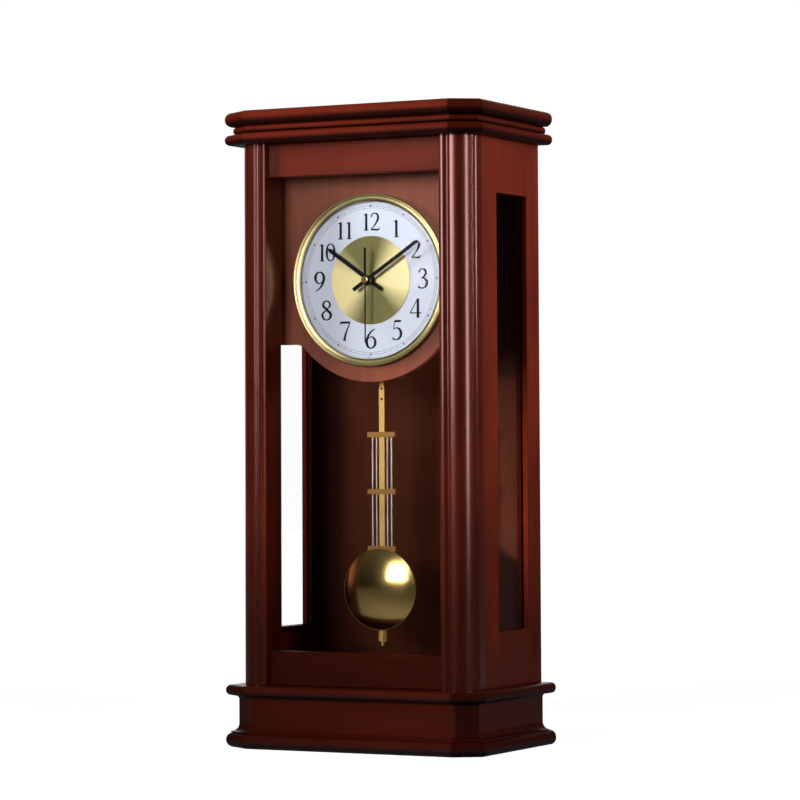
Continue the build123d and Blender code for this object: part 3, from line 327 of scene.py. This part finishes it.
class ClockStudio(bpy.types.PropertyGroup):
    """Floor, backdrop and lamps."""

    floor: hue("Floor", "Colour of the floor", (0.86, 0.86, 0.86))
    front_power: power("Front softbox", "Power of the softbox in front", 2.7)
    left_power: power("Left softbox", "Power of the softbox on the left", 5.4)
    right_power: power("Right softbox", "Power of the softbox on the right", 1.2)
    rear_power: power("Rear softbox", "Power of the softbox on the right, towards the back", 1.7)
    strip_power: power("Strip softbox", "Power of the narrow softbox that lights the edges of the posts", 1.2)
    inner_power: power("Inner softbox", "Power of the narrow softbox that lights the inside", 0.20)
    surround: share("Surround", "Level of the plain light from all round", 0.05)
    studio_dark: share("Studio walls", "Level of the room that polished surfaces reflect", 0.04)


class Tap:
    """A shader socket that takes part in Python arithmetic; each step adds its Math node."""

    def __init__(self, finish, socket):
        self.finish = finish
        self.socket = socket

    def maths(self, operation, first, second):
        return self.finish.node("ShaderNodeMath", {"operation": operation}, {0: first, 1: second})

    def __add__(self, other):
        return self.maths("ADD", self, other)

    def __sub__(self, other):
        return self.maths("SUBTRACT", self, other)

    def __rsub__(self, other):
        return self.maths("SUBTRACT", other, self)

    def __mul__(self, other):
        return self.maths("MULTIPLY", self, other)

    __radd__ = __add__
    __rmul__ = __mul__


class Finish:
    """A node tree that is built up one node at a time, round a principled shader or a background."""

    def __init__(self, owner, end, fixed=None):
        owner.use_nodes = True
        self.owner = owner
        self.tree = owner.node_tree
        self.end = self.tree.nodes[end]
        for socket, value in (fixed or {}).items():
            self.end.inputs[socket].default_value = value

    def node(self, kind, settings=None, inputs=None, output=0):
        """Adds one node: its settings first, then the values or links of its sockets."""
        made = self.tree.nodes.new(kind)
        for setting, value in (settings or {}).items():
            setattr(made, setting, value)
        for socket, value in (inputs or {}).items():
            self.join(made.inputs[socket], value)
        return Tap(self, made.outputs[output])

    def join(self, socket, value):
        """Links a tap to a socket, or sets a plain value on it."""
        if isinstance(value, Tap):
            self.tree.links.new(value.socket, socket)
        else:
            socket.default_value = value

    def feed(self, **taps):
        """Links taps to the sockets of the shader, named with underscores for spaces."""
        for socket, tap in taps.items():
            self.join(self.end.inputs[socket.replace("_", " ")], tap)

    def spot(self, scale=(1, 1, 1), shift=(0, 0, 0)):
        """The object's own coordinates, moved and then scaled."""
        place = self.node("ShaderNodeTexCoord", output="Object")
        return self.node("ShaderNodeMapping", {"vector_type": "POINT"}, {
            "Vector": place, "Scale": scale,
            "Location": tuple(a * b for a, b in zip(shift, scale)),
        })

    def noise(self, where, scale, detail=2.0, roughness=0.5):
        """Cloudy noise with so many clouds to the metre."""
        return self.node("ShaderNodeTexNoise", {"noise_dimensions": "3D"}, {
            "Vector": where, "Scale": scale, "Detail": detail, "Roughness": roughness,
        })

    def level(self, value, low, high, new_low=0.0, new_high=1.0):
        """Stretches the run from low to high of a value over a new run, and stops at its ends."""
        return self.node("ShaderNodeMapRange", {"clamp": True}, {
            "Value": value, "From Min": low, "From Max": high, "To Min": new_low, "To Max": new_high,
        })

    def tint(self, first, second, amount):
        """A colour between two others."""
        return self.node("ShaderNodeMix", {"data_type": "RGBA"}, {
            0: amount, 6: first if isinstance(first, Tap) else (*first, 1.0),
            7: second if isinstance(second, Tap) else (*second, 1.0),
        }, output=2)

    def bump(self, height, distance, strength=1.0, normal=None):
        """Relief of a height in metres."""
        sockets = {"Height": height, "Distance": distance, "Strength": strength}
        if normal:
            sockets["Normal"] = normal
        return self.node("ShaderNodeBump", inputs=sockets)


def finish_for(name, fixed=None):
    """A new material with its principled shader set where a value is the same all over."""
    return Finish(bpy.data.materials.new(name), "Principled BSDF", fixed)


def dress(finish, *names):
    """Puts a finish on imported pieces."""
    for name in names:
        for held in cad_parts[name].material_slots:
            held.material = finish.owner


def wood_finish(name, stretch, stains, pore, sheen, gloss, rough=WOOD_ROUGHNESS, glow=(1, 1, 1)):
    """Red-stained wood under varnish, and its grain, drawn out along one axis.

    Sheen is the broad shine of the wood, glow the colour of that shine and gloss the weight of the varnish.
    """
    finish = finish_for(name, {
        "Specular IOR Level": sheen, "Specular Tint": (*glow, 1.0),
        "Coat Weight": gloss, "Coat Roughness": VARNISH_ROUGHNESS, "Coat IOR": VARNISH_INDEX,
    })
    bands = finish.noise(finish.spot(stretch), BAND_SCALE, detail=3.0, roughness=0.55)
    streaks = finish.noise(finish.spot(stretch), STREAK_SCALE, roughness=0.6)
    pores = finish.noise(finish.spot(stretch, PORE_SHIFT), PORE_SCALE, roughness=0.6)
    cloud = finish.noise(finish.spot(), STAIN_SCALE)
    figure = finish.level(bands * BAND_SHARE + streaks * STREAK_SHARE + cloud * CLOUD_SHARE, *FIGURE_RUN)
    open_pores = finish.level(pores, *PORE_RUN)
    grain = finish.tint(finish.tint(*stains, figure), pore, open_pores * PORE_DEPTH)
    eased = finish.node("ShaderNodeBevel", {"samples": 4}, {"Radius": EDGE_EASE})
    finish.feed(
        Base_Color=grain,
        Roughness=rough + streaks * (rough * STREAK_ROUGHNESS),
        Normal=finish.bump(streaks * 0.5 - open_pores * 0.5, GRAIN_RELIEF, GRAIN_STRENGTH, eased),
    )
    return finish, grain


def moulding_finish(name, stretch, wood, stains, front_half):
    """Wood of the mouldings, with shade painted under the rounds, and a darker stain past half the front's
    width that also stands in for shade on the returns.
    """
    finish, grain = wood_finish(name, stretch, stains, wood.pore, wood.round_sheen, wood.gloss)
    across = finish.node("ShaderNodeSeparateXYZ", inputs={0: finish.spot()}, output="X")
    away = finish.node("ShaderNodeMath", {"operation": "ABSOLUTE"}, {0: across})
    facing = finish.node("ShaderNodeTexCoord", output="Normal")
    upward = finish.node("ShaderNodeSeparateXYZ", inputs={0: facing}, output="Z")
    # Returns past half the front's width, but not their flat tops, take the dark stain, which also stands in
    # for shade, and less varnish
    aside = finish.level(away, front_half - MITRE_BLUR, front_half + MITRE_BLUR)
    shaded_returns = aside * finish.level(upward, *FLAT_TOP, 1.0, 0.0)
    # Painted shade: the stain darkens towards black where the face turns down, under the rounds
    painted_underside_shade = finish.level(upward, *PAINTED_SHADE_SLOPES, wood.under_share, 1.0)
    stain = finish.tint(grain, stains[0], shaded_returns)
    finish.feed(
        Base_Color=finish.tint((0, 0, 0), stain, painted_underside_shade),
        Coat_Weight=wood.gloss - shaded_returns * (wood.gloss - wood.side_gloss),
    )
    return finish


def metal_finish(name, colour, rough, grain=(1, 1, 1), scale=RUB_SCALE):
    """Polished metal with fine rubbing marks and a faint dullness that comes and goes."""
    finish = finish_for(name, {"Metallic": 1.0})
    marks = finish.noise(finish.spot(grain), scale)
    cloud = finish.noise(finish.spot(), DULL_SCALE)
    finish.feed(
        Base_Color=finish.tint(tuple(c * DULL_SHARE for c in colour), colour, cloud),
        Roughness=rough + marks * (rough * RUB_ROUGHNESS) + cloud * (rough * DULL_ROUGHNESS),
        Normal=finish.bump(marks, RUB_RELIEF, RUB_STRENGTH),
    )
    return finish


def moulded_finish(name, colour, rough, sparkle=0.15, coat=0.0, shine=0.5):
    """Moulded or painted surface with a fine skin."""
    finish = finish_for(name, {
        "Coat Weight": coat, "Coat Roughness": LACQUER_ROUGHNESS, "Specular IOR Level": shine,
    })
    skin = finish.noise(finish.spot(), SKIN_SCALE, detail=3.0, roughness=0.6)
    cloud = finish.noise(finish.spot(), SKIN_CLOUD_SCALE)
    dark = tuple(c * (1 - sparkle) for c in colour)
    finish.feed(
        Base_Color=finish.tint(dark, colour, cloud * (1 - SKIN_SHARE) + skin * SKIN_SHARE),
        Roughness=rough + skin * SKIN_ROUGHNESS,
        Normal=finish.bump(skin, SKIN_RELIEF, SKIN_STRENGTH),
    )
    return finish


def glass_finish(name, index, tone):
    """Clear sheet: mostly see-through, with a mirror that grows towards grazing."""
    finish = finish_for(name)
    smear = finish.noise(finish.spot(), SMEAR_SCALE)
    inside = finish.node("ShaderNodeNewGeometry", output="Backfacing")
    edge = finish.node("ShaderNodeFresnel", inputs={"IOR": index + inside * (1 / index - index)})
    clear = finish.node("ShaderNodeBsdfTransparent", inputs={"Color": (*tone, 1.0)})
    mirror = finish.node("ShaderNodeBsdfGlossy", inputs={
        "Color": (1, 1, 1, 1), "Roughness": GLASS_ROUGHNESS,
    })
    clean = 1 - SMEAR_SHARE + smear * SMEAR_SHARE
    sheet = finish.node("ShaderNodeMixShader", inputs={0: edge * clean, 1: clear, 2: mirror})
    finish.join(finish.tree.nodes["Material Output"].inputs["Surface"], sheet)
    return finish


def turned_spot(finish, centre):
    """Place beside an axis that runs from front to back through a centre, and distance from that axis."""
    where = finish.spot((1, 0, 1), tuple(-c for c in centre))
    radius = finish.node("ShaderNodeVectorMath", {"operation": "LENGTH"}, {0: where}, output="Value")
    return where, radius


def ring_marks(finish, radius, pitch):
    """Uneven rings about an axis."""
    return finish.node("ShaderNodeTexNoise", {"noise_dimensions": "1D"}, {
        "W": radius, "Scale": 1 / pitch, "Detail": 1.0, "Roughness": 0.5,
    })


def wear_in_rings(finish, sheen, colour, rough, rings):
    """Dulls the colour of turned metal a little along its rings and in clouds."""
    cloud = finish.noise(finish.spot(), RING_CLOUD_SCALE)
    worn = tuple(c * RING_WEAR for c in colour)
    finish.feed(
        Base_Color=finish.tint(sheen, worn, rings * RING_SHARE + cloud * RING_CLOUD_SHARE),
        Roughness=rough + cloud * RING_CLOUD_ROUGHNESS,
    )


def ring_finish(name, colour, rough, centre, pitch, depth, shade):
    """Metal brushed in rings, with a painted sheen: two bright fans painted across a darker painted shade."""
    finish = finish_for(name, {"Metallic": 1.0})
    where, radius = turned_spot(finish, centre)
    rings = ring_marks(finish, radius, pitch)
    # Painted sheen: two bright fans painted into the base colour by bearing round the axis, over a painted
    # shade
    across = finish.node("ShaderNodeSeparateXYZ", inputs={0: where}, output="X")
    up = finish.node("ShaderNodeSeparateXYZ", inputs={0: where}, output="Z")
    bearing = finish.node("ShaderNodeMath", {"operation": "ARCTAN2"}, {0: across, 1: up})
    painted_fan = finish.node("ShaderNodeMath", {"operation": "COSINE"}, {0: (bearing - PAINTED_FAN_BEARING) * 2})
    sheen = finish.tint(shade, colour, finish.level(painted_fan + rings * PAINTED_FAN_FRAY, *PAINTED_FAN_RUN))
    wear_in_rings(finish, sheen, colour, rough, rings)
    finish.feed(Normal=finish.bump(rings, depth))
    return finish


def dome_finish(name, colour, rough, centre, pitch):
    """Smooth spun dome that faces the front: near its axis, the curve of its face alone shades it."""
    finish = finish_for(name, {"Metallic": 1.0})
    where, radius = turned_spot(finish, centre)
    wear_in_rings(finish, colour, colour, rough, ring_marks(finish, radius, pitch))
    lean = finish.node("ShaderNodeVectorMath", {"operation": "MULTIPLY_ADD"}, {
        0: where, 1: [1 / BOB_CURVE] * 3, 2: (0, -1, 0),
    })
    crown = finish.node("ShaderNodeVectorTransform", {
        "vector_type": "NORMAL", "convert_from": "OBJECT", "convert_to": "WORLD",
    }, {0: lean})
    skin = finish.node("ShaderNodeNewGeometry", output="Normal")
    finish.feed(Normal=finish.node("ShaderNodeMix", {"data_type": "VECTOR"}, {
        0: finish.level(radius, *BOB_POLE), 4: crown, 5: skin,
    }, output=1))
    return finish


def alone():
    """Leaves nothing selected, so that the next tool acts on the new piece only."""
    bpy.ops.object.select_all(action="DESELECT")


def active_piece(name):
    """The piece that was made last, with its mesh named like it."""
    piece = bpy.context.view_layer.objects.active
    piece.name = name
    piece.data.name = name
    return piece


def settle(piece, finish, body):
    """Leaves a piece at the origin with its place in its mesh, finished and riding on its body."""
    alone()
    piece.select_set(True)
    bpy.context.view_layer.objects.active = piece
    bpy.ops.object.transform_apply(location=True, rotation=True, scale=True)
    piece.data.materials.clear()
    piece.data.materials.append(finish.owner)
    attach(piece, body)


def face_middle(node):
    """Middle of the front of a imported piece."""
    low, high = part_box(node)
    return Vector(((low[0] + high[0]) / 2, low[1], (low[2] + high[2]) / 2))


def dial_middle():
    """Middle of the dial on the painted face."""
    return face_middle("dial_plate")


def pen_stroke(points, closed, height):
    """One stroke of a figure: a round curve as wide as the pen at each point."""
    alone()
    bpy.ops.curve.primitive_bezier_curve_add()
    stroke = bpy.context.view_layer.objects.active
    shape = stroke.data
    shape.bevel_depth = 1.0
    shape.bevel_resolution = 2
    shape.resolution_u = 10
    shape.use_fill_caps = True
    run = shape.splines[0]
    kept = points[:-1] if closed else points
    run.bezier_points.add(len(kept) - 2)
    run.use_cyclic_u = closed
    for knot, (across, up, width) in zip(run.bezier_points, kept):
        knot.co = (across * height, (up - 0.5) * height, 0)
        knot.radius = width * height / 2
        knot.handle_left_type = knot.handle_right_type = "AUTO"
    bpy.ops.object.convert(target="MESH")
    return bpy.context.view_layer.objects.active


def join_pieces(pieces, name):
    """Makes one piece of several."""
    alone()
    for piece in pieces:
        piece.select_set(True)
    bpy.context.view_layer.objects.active = pieces[0]
    bpy.ops.object.join()
    return active_piece(name)


def deeper(stains, part):
    """Stains that keep only a share of their light, for darker stains and for painted shade."""
    return [tuple(c * part for c in stain) for stain in stains]


def stain_boards(wood, name, stretch, stains, shine, *boards):
    """Finishes boards that share their grain, stain and shine."""
    dress(wood_finish(name, stretch, stains, wood.pore, **shine)[0], *boards)


class CLOCK_OT_woodwork(bpy.types.Operator):
    """Stain and varnish the boards, posts and rails, each with its grain along its length, and paint shade
    inside the case, on the low rail and on the mouldings
    """

    bl_idname = "clock.woodwork"
    bl_label = "Finish the woodwork"

    def execute(self, context):
        wood = context.scene.clock_woodwork
        stains = tuple(wood.stain_dark), tuple(wood.stain_light)
        veneers = tuple(wood.veneer_dark), tuple(wood.veneer_light)
        post_and_rail_shade_stains = deeper(stains, wood.post_share)
        inner_shade_stains = deeper(stains, wood.back_share)
        frieze_return_shade_stains = deeper(stains, wood.return_share)
        back_shade_veneers = deeper(veneers, wood.back_share)
        board = {"sheen": wood.veneer_sheen, "gloss": wood.gloss}
        rail = {"sheen": wood.rail_sheen, "gloss": wood.gloss}
        side = {"sheen": wood.round_sheen, "gloss": wood.side_gloss}
        post = {
            "sheen": wood.post_sheen, "gloss": 0.0, "rough": wood.post_blur, "glow": tuple(wood.post_glow),
        }
        stain_boards(wood, "post_mahogany", UPRIGHT, post_and_rail_shade_stains, post, *POSTS)
        stain_boards(wood, "side_mahogany", UPRIGHT, stains, side, *SIDE_BOARDS)
        stain_boards(wood, "dial_veneer", UPRIGHT, veneers, board, "dial_board")
        # Painted shade: the back and the inner strips are stained darker where shade falls inside the case
        stain_boards(wood, "back_veneer", UPRIGHT, back_shade_veneers, side, "back_panel")
        stain_boards(wood, "inner_mahogany", UPRIGHT, inner_shade_stains, side, *INNER_STRIPS)
        stain_boards(wood, "rail_mahogany", CROSSWAYS, stains, rail, "top_rail")
        stain_boards(wood, "frieze_mahogany", CROSSWAYS, stains, side, "frieze_front")
        # Painted shade: the low rail is stained darker where shade falls below the opening
        stain_boards(wood, "low_rail_mahogany", CROSSWAYS, post_and_rail_shade_stains, side, "bottom_rail")
        # Side friezes: darker stain that also stands in for shade
        stain_boards(wood, "return_mahogany", SIDEWAYS, frieze_return_shade_stains, side, *RETURN_BOARDS)
        front_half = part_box("frieze_front")[1][0]
        # Mouldings: painted shade under the rounds, and a darker stain on the returns that also stands in for
        # shade
        dress(moulding_finish("moulding_mahogany", CROSSWAYS, wood, stains, front_half), *MOULDINGS)
        return {"FINISHED"}


class CLOCK_OT_glazing(bpy.types.Operator):
    """Clear the side panes and the lens of the dial"""

    bl_idname = "clock.glazing"
    bl_label = "Finish the glass"

    def execute(self, context):
        dress(glass_finish("window_glass", PANE_INDEX, PANE_TONE), "left_side_glass", "right_side_glass")
        dress(glass_finish("lens_glass", LENS_INDEX, LENS_TONE), "lens")
        return {"FINISHED"}


class CLOCK_OT_dial(bpy.types.Operator):
    """Enamel the dial, brush its gold disc in rings and paint a sheen of two bright fans on it"""

    bl_idname = "clock.dial"
    bl_label = "Finish the dial"

    def execute(self, context):
        dial = context.scene.clock_dial
        dress(moulded_finish("dial_enamel", tuple(dial.paint), rough=0.38, sparkle=0.04), "dial_plate")
        # Painted sheen: the bright fans of the disc and the shade between them are painted in its colour
        brushed = ring_finish(
            "brushed_disc", tuple(dial.disc), rough=0.32, centre=dial_middle(),
            pitch=0.0007, depth=0.000008, shade=tuple(dial.disc_shade),
        )
        dress(brushed, "centre_disc")
        return {"FINISHED"}


def ink_finish(dial):
    """Printing ink, made once for the figures and the minute track."""
    ink = bpy.data.materials.get("dial_ink")
    if ink:
        return Finish(ink, "Principled BSDF")
    return moulded_finish("dial_ink", tuple(dial.ink), rough=0.5, sparkle=0.3, shine=0.1)


class CLOCK_OT_figures(bpy.types.Operator):
    """Draw the twelve hour figures with a broad pen and lay them on the dial"""

    bl_idname = "clock.figures"
    bl_label = "Print the hour figures"

    def execute(self, context):
        dial = context.scene.clock_dial
        middle = dial_middle()
        strokes = []
        for hour in range(1, 13):
            turn = math.tau * hour / 12
            spot = middle + Vector((math.sin(turn), 0, math.cos(turn))) * dial.figure_ring
            figures = str(hour)
            for place, figure in enumerate(figures):
                height = dial.figure_height * (1 if figure in SHORT_FIGURES else dial.tall_figures)
                aside = (place - (len(figures) - 1) / 2) * FIGURE_PITCH * height
                for points in FIGURES[figure]:
                    stroke = pen_stroke(points, figure in CLOSED_FIGURES, height)
                    stroke.scale = (1, 1, dial.ink_depth / (MEAN_PEN * height))
                    stroke.rotation_euler = FACING_FRONT
                    stroke.location = spot + Vector((aside, 0, 0))
                    strokes.append(stroke)
        piece = join_pieces(strokes, "hour_figures")
        settle(piece, ink_finish(dial), "case")
        return {"FINISHED"}


class CLOCK_OT_minute_track(bpy.types.Operator):
    """Print the minute track: two fine lines, a dash at each minute and a dot at each hour"""

    bl_idname = "clock.minute_track"
    bl_label = "Print the minute track"

    def execute(self, context):
        dial = context.scene.clock_dial
        middle = dial_middle()
        marks = []
        for radius in (dial.track_radius, dial.track_radius + dial.track_width):
            alone()
            bpy.ops.mesh.primitive_torus_add(
                location=middle, rotation=FACING_FRONT, major_radius=radius,
                minor_radius=dial.ink_depth, major_segments=240, minor_segments=6,
            )
            marks.append(active_piece("minute_track"))
        for minute in range(60):
            turn = math.tau * minute / 60
            hour = minute % 5 == 0
            radius = dial.track_radius + dial.track_width * (DOT_PLACE if hour else DASH_PLACE)
            spot = middle + Vector((math.sin(turn), 0, math.cos(turn))) * radius
            size = dial.track_width * (DOT_SIZE if hour else DASH_SIZE)
            alone()
            bpy.ops.mesh.primitive_uv_sphere_add(segments=16, ring_count=8, radius=size, location=spot)
            mark = bpy.context.view_layer.objects.active
            mark.scale = (1 if hour else DASH_WIDTH, dial.ink_depth / size, 1)
            mark.rotation_euler = (0, turn, 0)
            marks.append(mark)
        piece = join_pieces(marks, "minute_track")
        settle(piece, ink_finish(dial), "case")
        return {"FINISHED"}


class CLOCK_OT_bezel(bpy.types.Operator):
    """Gild the turned ring round the dial and paint a sheen of two bright fans on it"""

    bl_idname = "clock.bezel"
    bl_label = "Finish the bezel"

    def execute(self, context):
        metal = context.scene.clock_metal
        # Painted sheen: the bright fans of the bezel and the shade between them are painted in its colour
        turned = ring_finish(
            "turned_gilt", tuple(metal.gilt), rough=0.42, centre=dial_middle(),
            pitch=0.0006, depth=0.000006, shade=tuple(metal.gilt_shade),
        )
        dress(turned, "bezel")
        return {"FINISHED"}


class CLOCK_OT_hands(bpy.types.Operator):
    """Lacquer the hands and polish their cap"""

    bl_idname = "clock.hands"
    bl_label = "Finish the hands"

    def execute(self, context):
        metal = context.scene.clock_metal
        lacquer = moulded_finish("hand_lacquer", tuple(metal.black), rough=0.4, sparkle=0.3, shine=0.1)
        dress(lacquer, "hour_hand", "minute_hand", "second_hand")
        polish = metal_finish("cap_polish", tuple(metal.brass), rough=0.16)
        dress(polish, "hand_cap", "centre_bush", "bush_nut")
        return {"FINISHED"}


class CLOCK_OT_pendulum(bpy.types.Operator):
    """Gild the rod and bars, polish the grid rods and the bob"""

    bl_idname = "clock.pendulum"
    bl_label = "Finish the pendulum"

    def execute(self, context):
        metal = context.scene.clock_metal
        brass = tuple(metal.brass)
        rod = metal_finish("rod_gilt", tuple(metal.rod_gilt), rough=0.29, grain=(1, 1, 0.06), scale=1500.0)
        dress(rod, "pendulum_rod", "rating_nut")
        bar = metal_finish("bar_gilt", tuple(metal.bar_gilt), rough=0.29, grain=(0.06, 1, 1), scale=1500.0)
        dress(bar, "cross_bars")
        grid = metal_finish("grid_steel", tuple(metal.steel), rough=0.3, grain=(1, 1, 0.05), scale=1800.0)
        dress(grid, "grid_rods")
        middle = face_middle("bob_dome")
        dress(dome_finish("spun_brass", brass, rough=0.13, centre=middle, pitch=0.0008), "bob_dome")
        dress(metal_finish("back_brass", brass, rough=0.2), "bob_back")
        return {"FINISHED"}


class CLOCK_OT_movement(bpy.types.Operator):
    """Finish the movement, its gear train and the fittings on the back"""

    bl_idname = "clock.movement"
    bl_label = "Finish the movement"

    def execute(self, context):
        works = context.scene.clock_movement
        steel = tuple(context.scene.clock_metal.steel)
        black = moulded_finish("black_moulding", tuple(works.moulding), rough=0.45, sparkle=0.25)
        dress(black, "movement_front_case", "movement_rear_case", "setting_knob", "pendulum_lever")
        ivory = moulded_finish("ivory_moulding", tuple(works.wheels), rough=0.35, sparkle=0.1)
        dress(ivory, *WHEELS, "gear_bridge")
        plated = metal_finish("plated_steel", steel, rough=0.28, grain=(1, 0.1, 1), scale=1200.0)
        dress(plated, *STEEL_FITTINGS)
        copper = metal_finish(
            "winding_copper", tuple(works.copper), rough=0.3, grain=(0.05, 1, 1), scale=1600.0,
        )
        dress(copper, "motor_coil", "pendulum_coil")
        mask = moulded_finish("board_mask", tuple(works.board), rough=0.3, sparkle=0.25, coat=0.3)
        dress(mask, "circuit_board")
        wrap = moulded_finish("battery_wrap", tuple(works.wrap), rough=0.28, sparkle=0.2, coat=0.4)
        dress(wrap, "battery")
        ground = metal_finish(
            "ground_magnet", tuple(works.magnet), rough=0.4, grain=(1, 0.1, 1), scale=1500.0,
        )
        dress(ground, "rotor", "drive_magnet")
        return {"FINISHED"}


def way_out(turn, lift):
    """Direction from the clock to what stands round it. Turn 0 is in front, a quarter turn on the right."""
    return Vector((math.sin(turn) * math.cos(lift), -math.cos(turn) * math.cos(lift), math.sin(lift)))


def softbox(name, watts, turn, lift, reach, face, target, beam):
    """A lamp with a broad face, turned to its target."""
    away = way_out(math.radians(turn), math.radians(lift))
    alone()
    bpy.ops.object.light_add(type="AREA", location=Vector(target) + away * reach)
    lamp = bpy.context.view_layer.objects.active
    lamp.name = name
    lamp.data.shape = "RECTANGLE"
    lamp.data.size, lamp.data.size_y = face
    lamp.data.energy = watts
    lamp.data.spread = math.radians(beam)
    lamp.rotation_euler = away.to_track_quat("Z", "Y").to_euler()
    lamp.visible_camera = False
    return lamp


def seen_rays(finish):
    """Taps for the rays that show a background: straight from the camera, mirrored and through glass."""
    rays = "Is Camera Ray", "Is Glossy Ray", "Is Transmission Ray"
    return [finish.node("ShaderNodeLightPath", output=ray) for ray in rays]


def lay_floor(studio):
    """Pale paper under the clock, with a light of its own where the camera sees it."""
    alone()
    bpy.ops.mesh.primitive_circle_add(
        vertices=FLOOR_SIDES, radius=FLOOR_RADIUS, fill_type="NGON", location=(0, 0, 0)
    )
    floor = active_piece("floor")
    finish = finish_for("floor_paper", {"Roughness": PAPER_ROUGHNESS, "Specular IOR Level": 0.0})
    fibre = finish.noise(finish.spot(), FIBRE_SCALE, detail=3.0)
    pale = tuple(studio.floor)
    finish.feed(Base_Color=finish.tint(tuple(c * FIBRE_SHARE for c in pale), pale, fibre))
    where = finish.spot()
    reach = finish.node("ShaderNodeVectorMath", {"operation": "LENGTH"}, {0: where}, output="Value")
    camera, mirrored, through = seen_rays(finish)
    white = PAPER_NEAR + finish.level(reach, *PAPER_RUN) * PAPER_RISE
    shown = camera + mirrored * PAPER_MIRRORED + through
    glow = finish.node("ShaderNodeEmission", inputs={"Strength": shown * white})
    paper = Tap(finish, finish.end.outputs[0])
    both = finish.node("ShaderNodeAddShader", inputs={0: paper, 1: glow})
    finish.join(finish.tree.nodes["Material Output"].inputs["Surface"], both)
    floor.data.materials.append(finish.owner)


def light_surround(scene, studio):
    """White backdrop for the camera, dark walls for polished surfaces and a plain light for the rest."""
    world = bpy.data.worlds.new("white_surround")
    scene.world = world
    finish = Finish(world, "Background", {"Color": (1, 1, 1, 1)})
    camera, mirrored, through = seen_rays(finish)
    ray = finish.node("ShaderNodeTexCoord", output="Generated")
    behind = finish.node("ShaderNodeVectorMath", {"operation": "DOT_PRODUCT"}, {
        0: ray, 1: BACKDROP_BEARING,
    }, output="Value")
    paper = finish.level(behind, *BACKDROP_EDGE)
    height = finish.node("ShaderNodeSeparateXYZ", inputs={0: ray}, output="Z")
    room = finish.level(height, *WALL_RUN, *(part * studio.studio_dark for part in WALL_LEVELS))
    shown = camera + through
    plain = (1 - shown) * (1 - mirrored) * studio.surround
    finish.feed(Strength=shown + mirrored * (paper + room) + plain)


def place_camera(scene):
    """Camera that stands where the photograph was taken."""
    back = way_out(CAMERA_TURN, CAMERA_LIFT)
    level = Vector((math.cos(CAMERA_TURN), math.sin(CAMERA_TURN), 0))
    plumb = back.cross(level)
    right = level * math.cos(CAMERA_ROLL) + plumb * math.sin(CAMERA_ROLL)
    up = plumb * math.cos(CAMERA_ROLL) - level * math.sin(CAMERA_ROLL)
    facing = Matrix((right, up, back)).transposed().to_4x4()
    alone()
    bpy.ops.object.camera_add()
    camera = bpy.context.view_layer.objects.active
    camera.name = "photo_camera"
    camera.matrix_world = Matrix.Translation(CAMERA_PLACE) @ facing
    camera.data.sensor_width = CAMERA_SENSOR
    camera.data.lens = CAMERA_LENS
    camera.data.shift_x, camera.data.shift_y = CAMERA_SHIFT
    camera.data.clip_end = CAMERA_REACH
    scene.camera = camera
    scene.view_settings.view_transform = "Standard"


class CLOCK_OT_stage(bpy.types.Operator):
    """Set the pale floor, the white surround, the softboxes and the camera"""

    bl_idname = "clock.stage"
    bl_label = "Set the stage"

    def execute(self, context):
        studio = context.scene.clock_studio
        lay_floor(studio)
        light_surround(context.scene, studio)
        for side, place in SOFTBOXES.items():
            lamp = softbox(f"{side}_softbox", getattr(studio, f"{side}_power"), **place)
            lamp.visible_glossy = side not in UNMIRRORED
        place_camera(context.scene)
        return {"FINISHED"}


class CLOCK_PT_sidebar(bpy.types.Panel):
    """The steps that dress the clock"""

    bl_idname = "CLOCK_PT_sidebar"
    bl_label = "Pendulum Case Clock"
    bl_space_type = "VIEW_3D"
    bl_region_type = "UI"
    bl_category = "Clock"

    def draw(self, context):
        for step in STEPS:
            self.layout.operator(step.bl_idname)


GROUPS = {
    "clock_woodwork": ClockWoodwork, "clock_dial": ClockDial,
    "clock_metal": ClockMetal, "clock_movement": ClockMovement, "clock_studio": ClockStudio,
}
STEPS = (
    CLOCK_OT_woodwork, CLOCK_OT_glazing, CLOCK_OT_dial, CLOCK_OT_figures, CLOCK_OT_minute_track,
    CLOCK_OT_bezel, CLOCK_OT_hands, CLOCK_OT_pendulum, CLOCK_OT_movement, CLOCK_OT_stage,
)


def register():
    for group in GROUPS.values():
        bpy.utils.register_class(group)
    for name, group in GROUPS.items():
        setattr(bpy.types.Scene, name, bpy.props.PointerProperty(type=group))
    for step in (*STEPS, CLOCK_PT_sidebar):
        bpy.utils.register_class(step)


def unregister():
    for step in reversed((*STEPS, CLOCK_PT_sidebar)):
        bpy.utils.unregister_class(step)
    for name, group in GROUPS.items():
        delattr(bpy.types.Scene, name)
        bpy.utils.unregister_class(group)


def main():
    register()
    bpy.ops.clock.woodwork()
    bpy.ops.clock.glazing()
    bpy.ops.clock.dial()
    bpy.ops.clock.figures()
    bpy.ops.clock.minute_track()
    bpy.ops.clock.bezel()
    bpy.ops.clock.hands()
    bpy.ops.clock.pendulum()
    bpy.ops.clock.movement()
    bpy.ops.clock.stage()


if __name__ == "__main__":
    main()
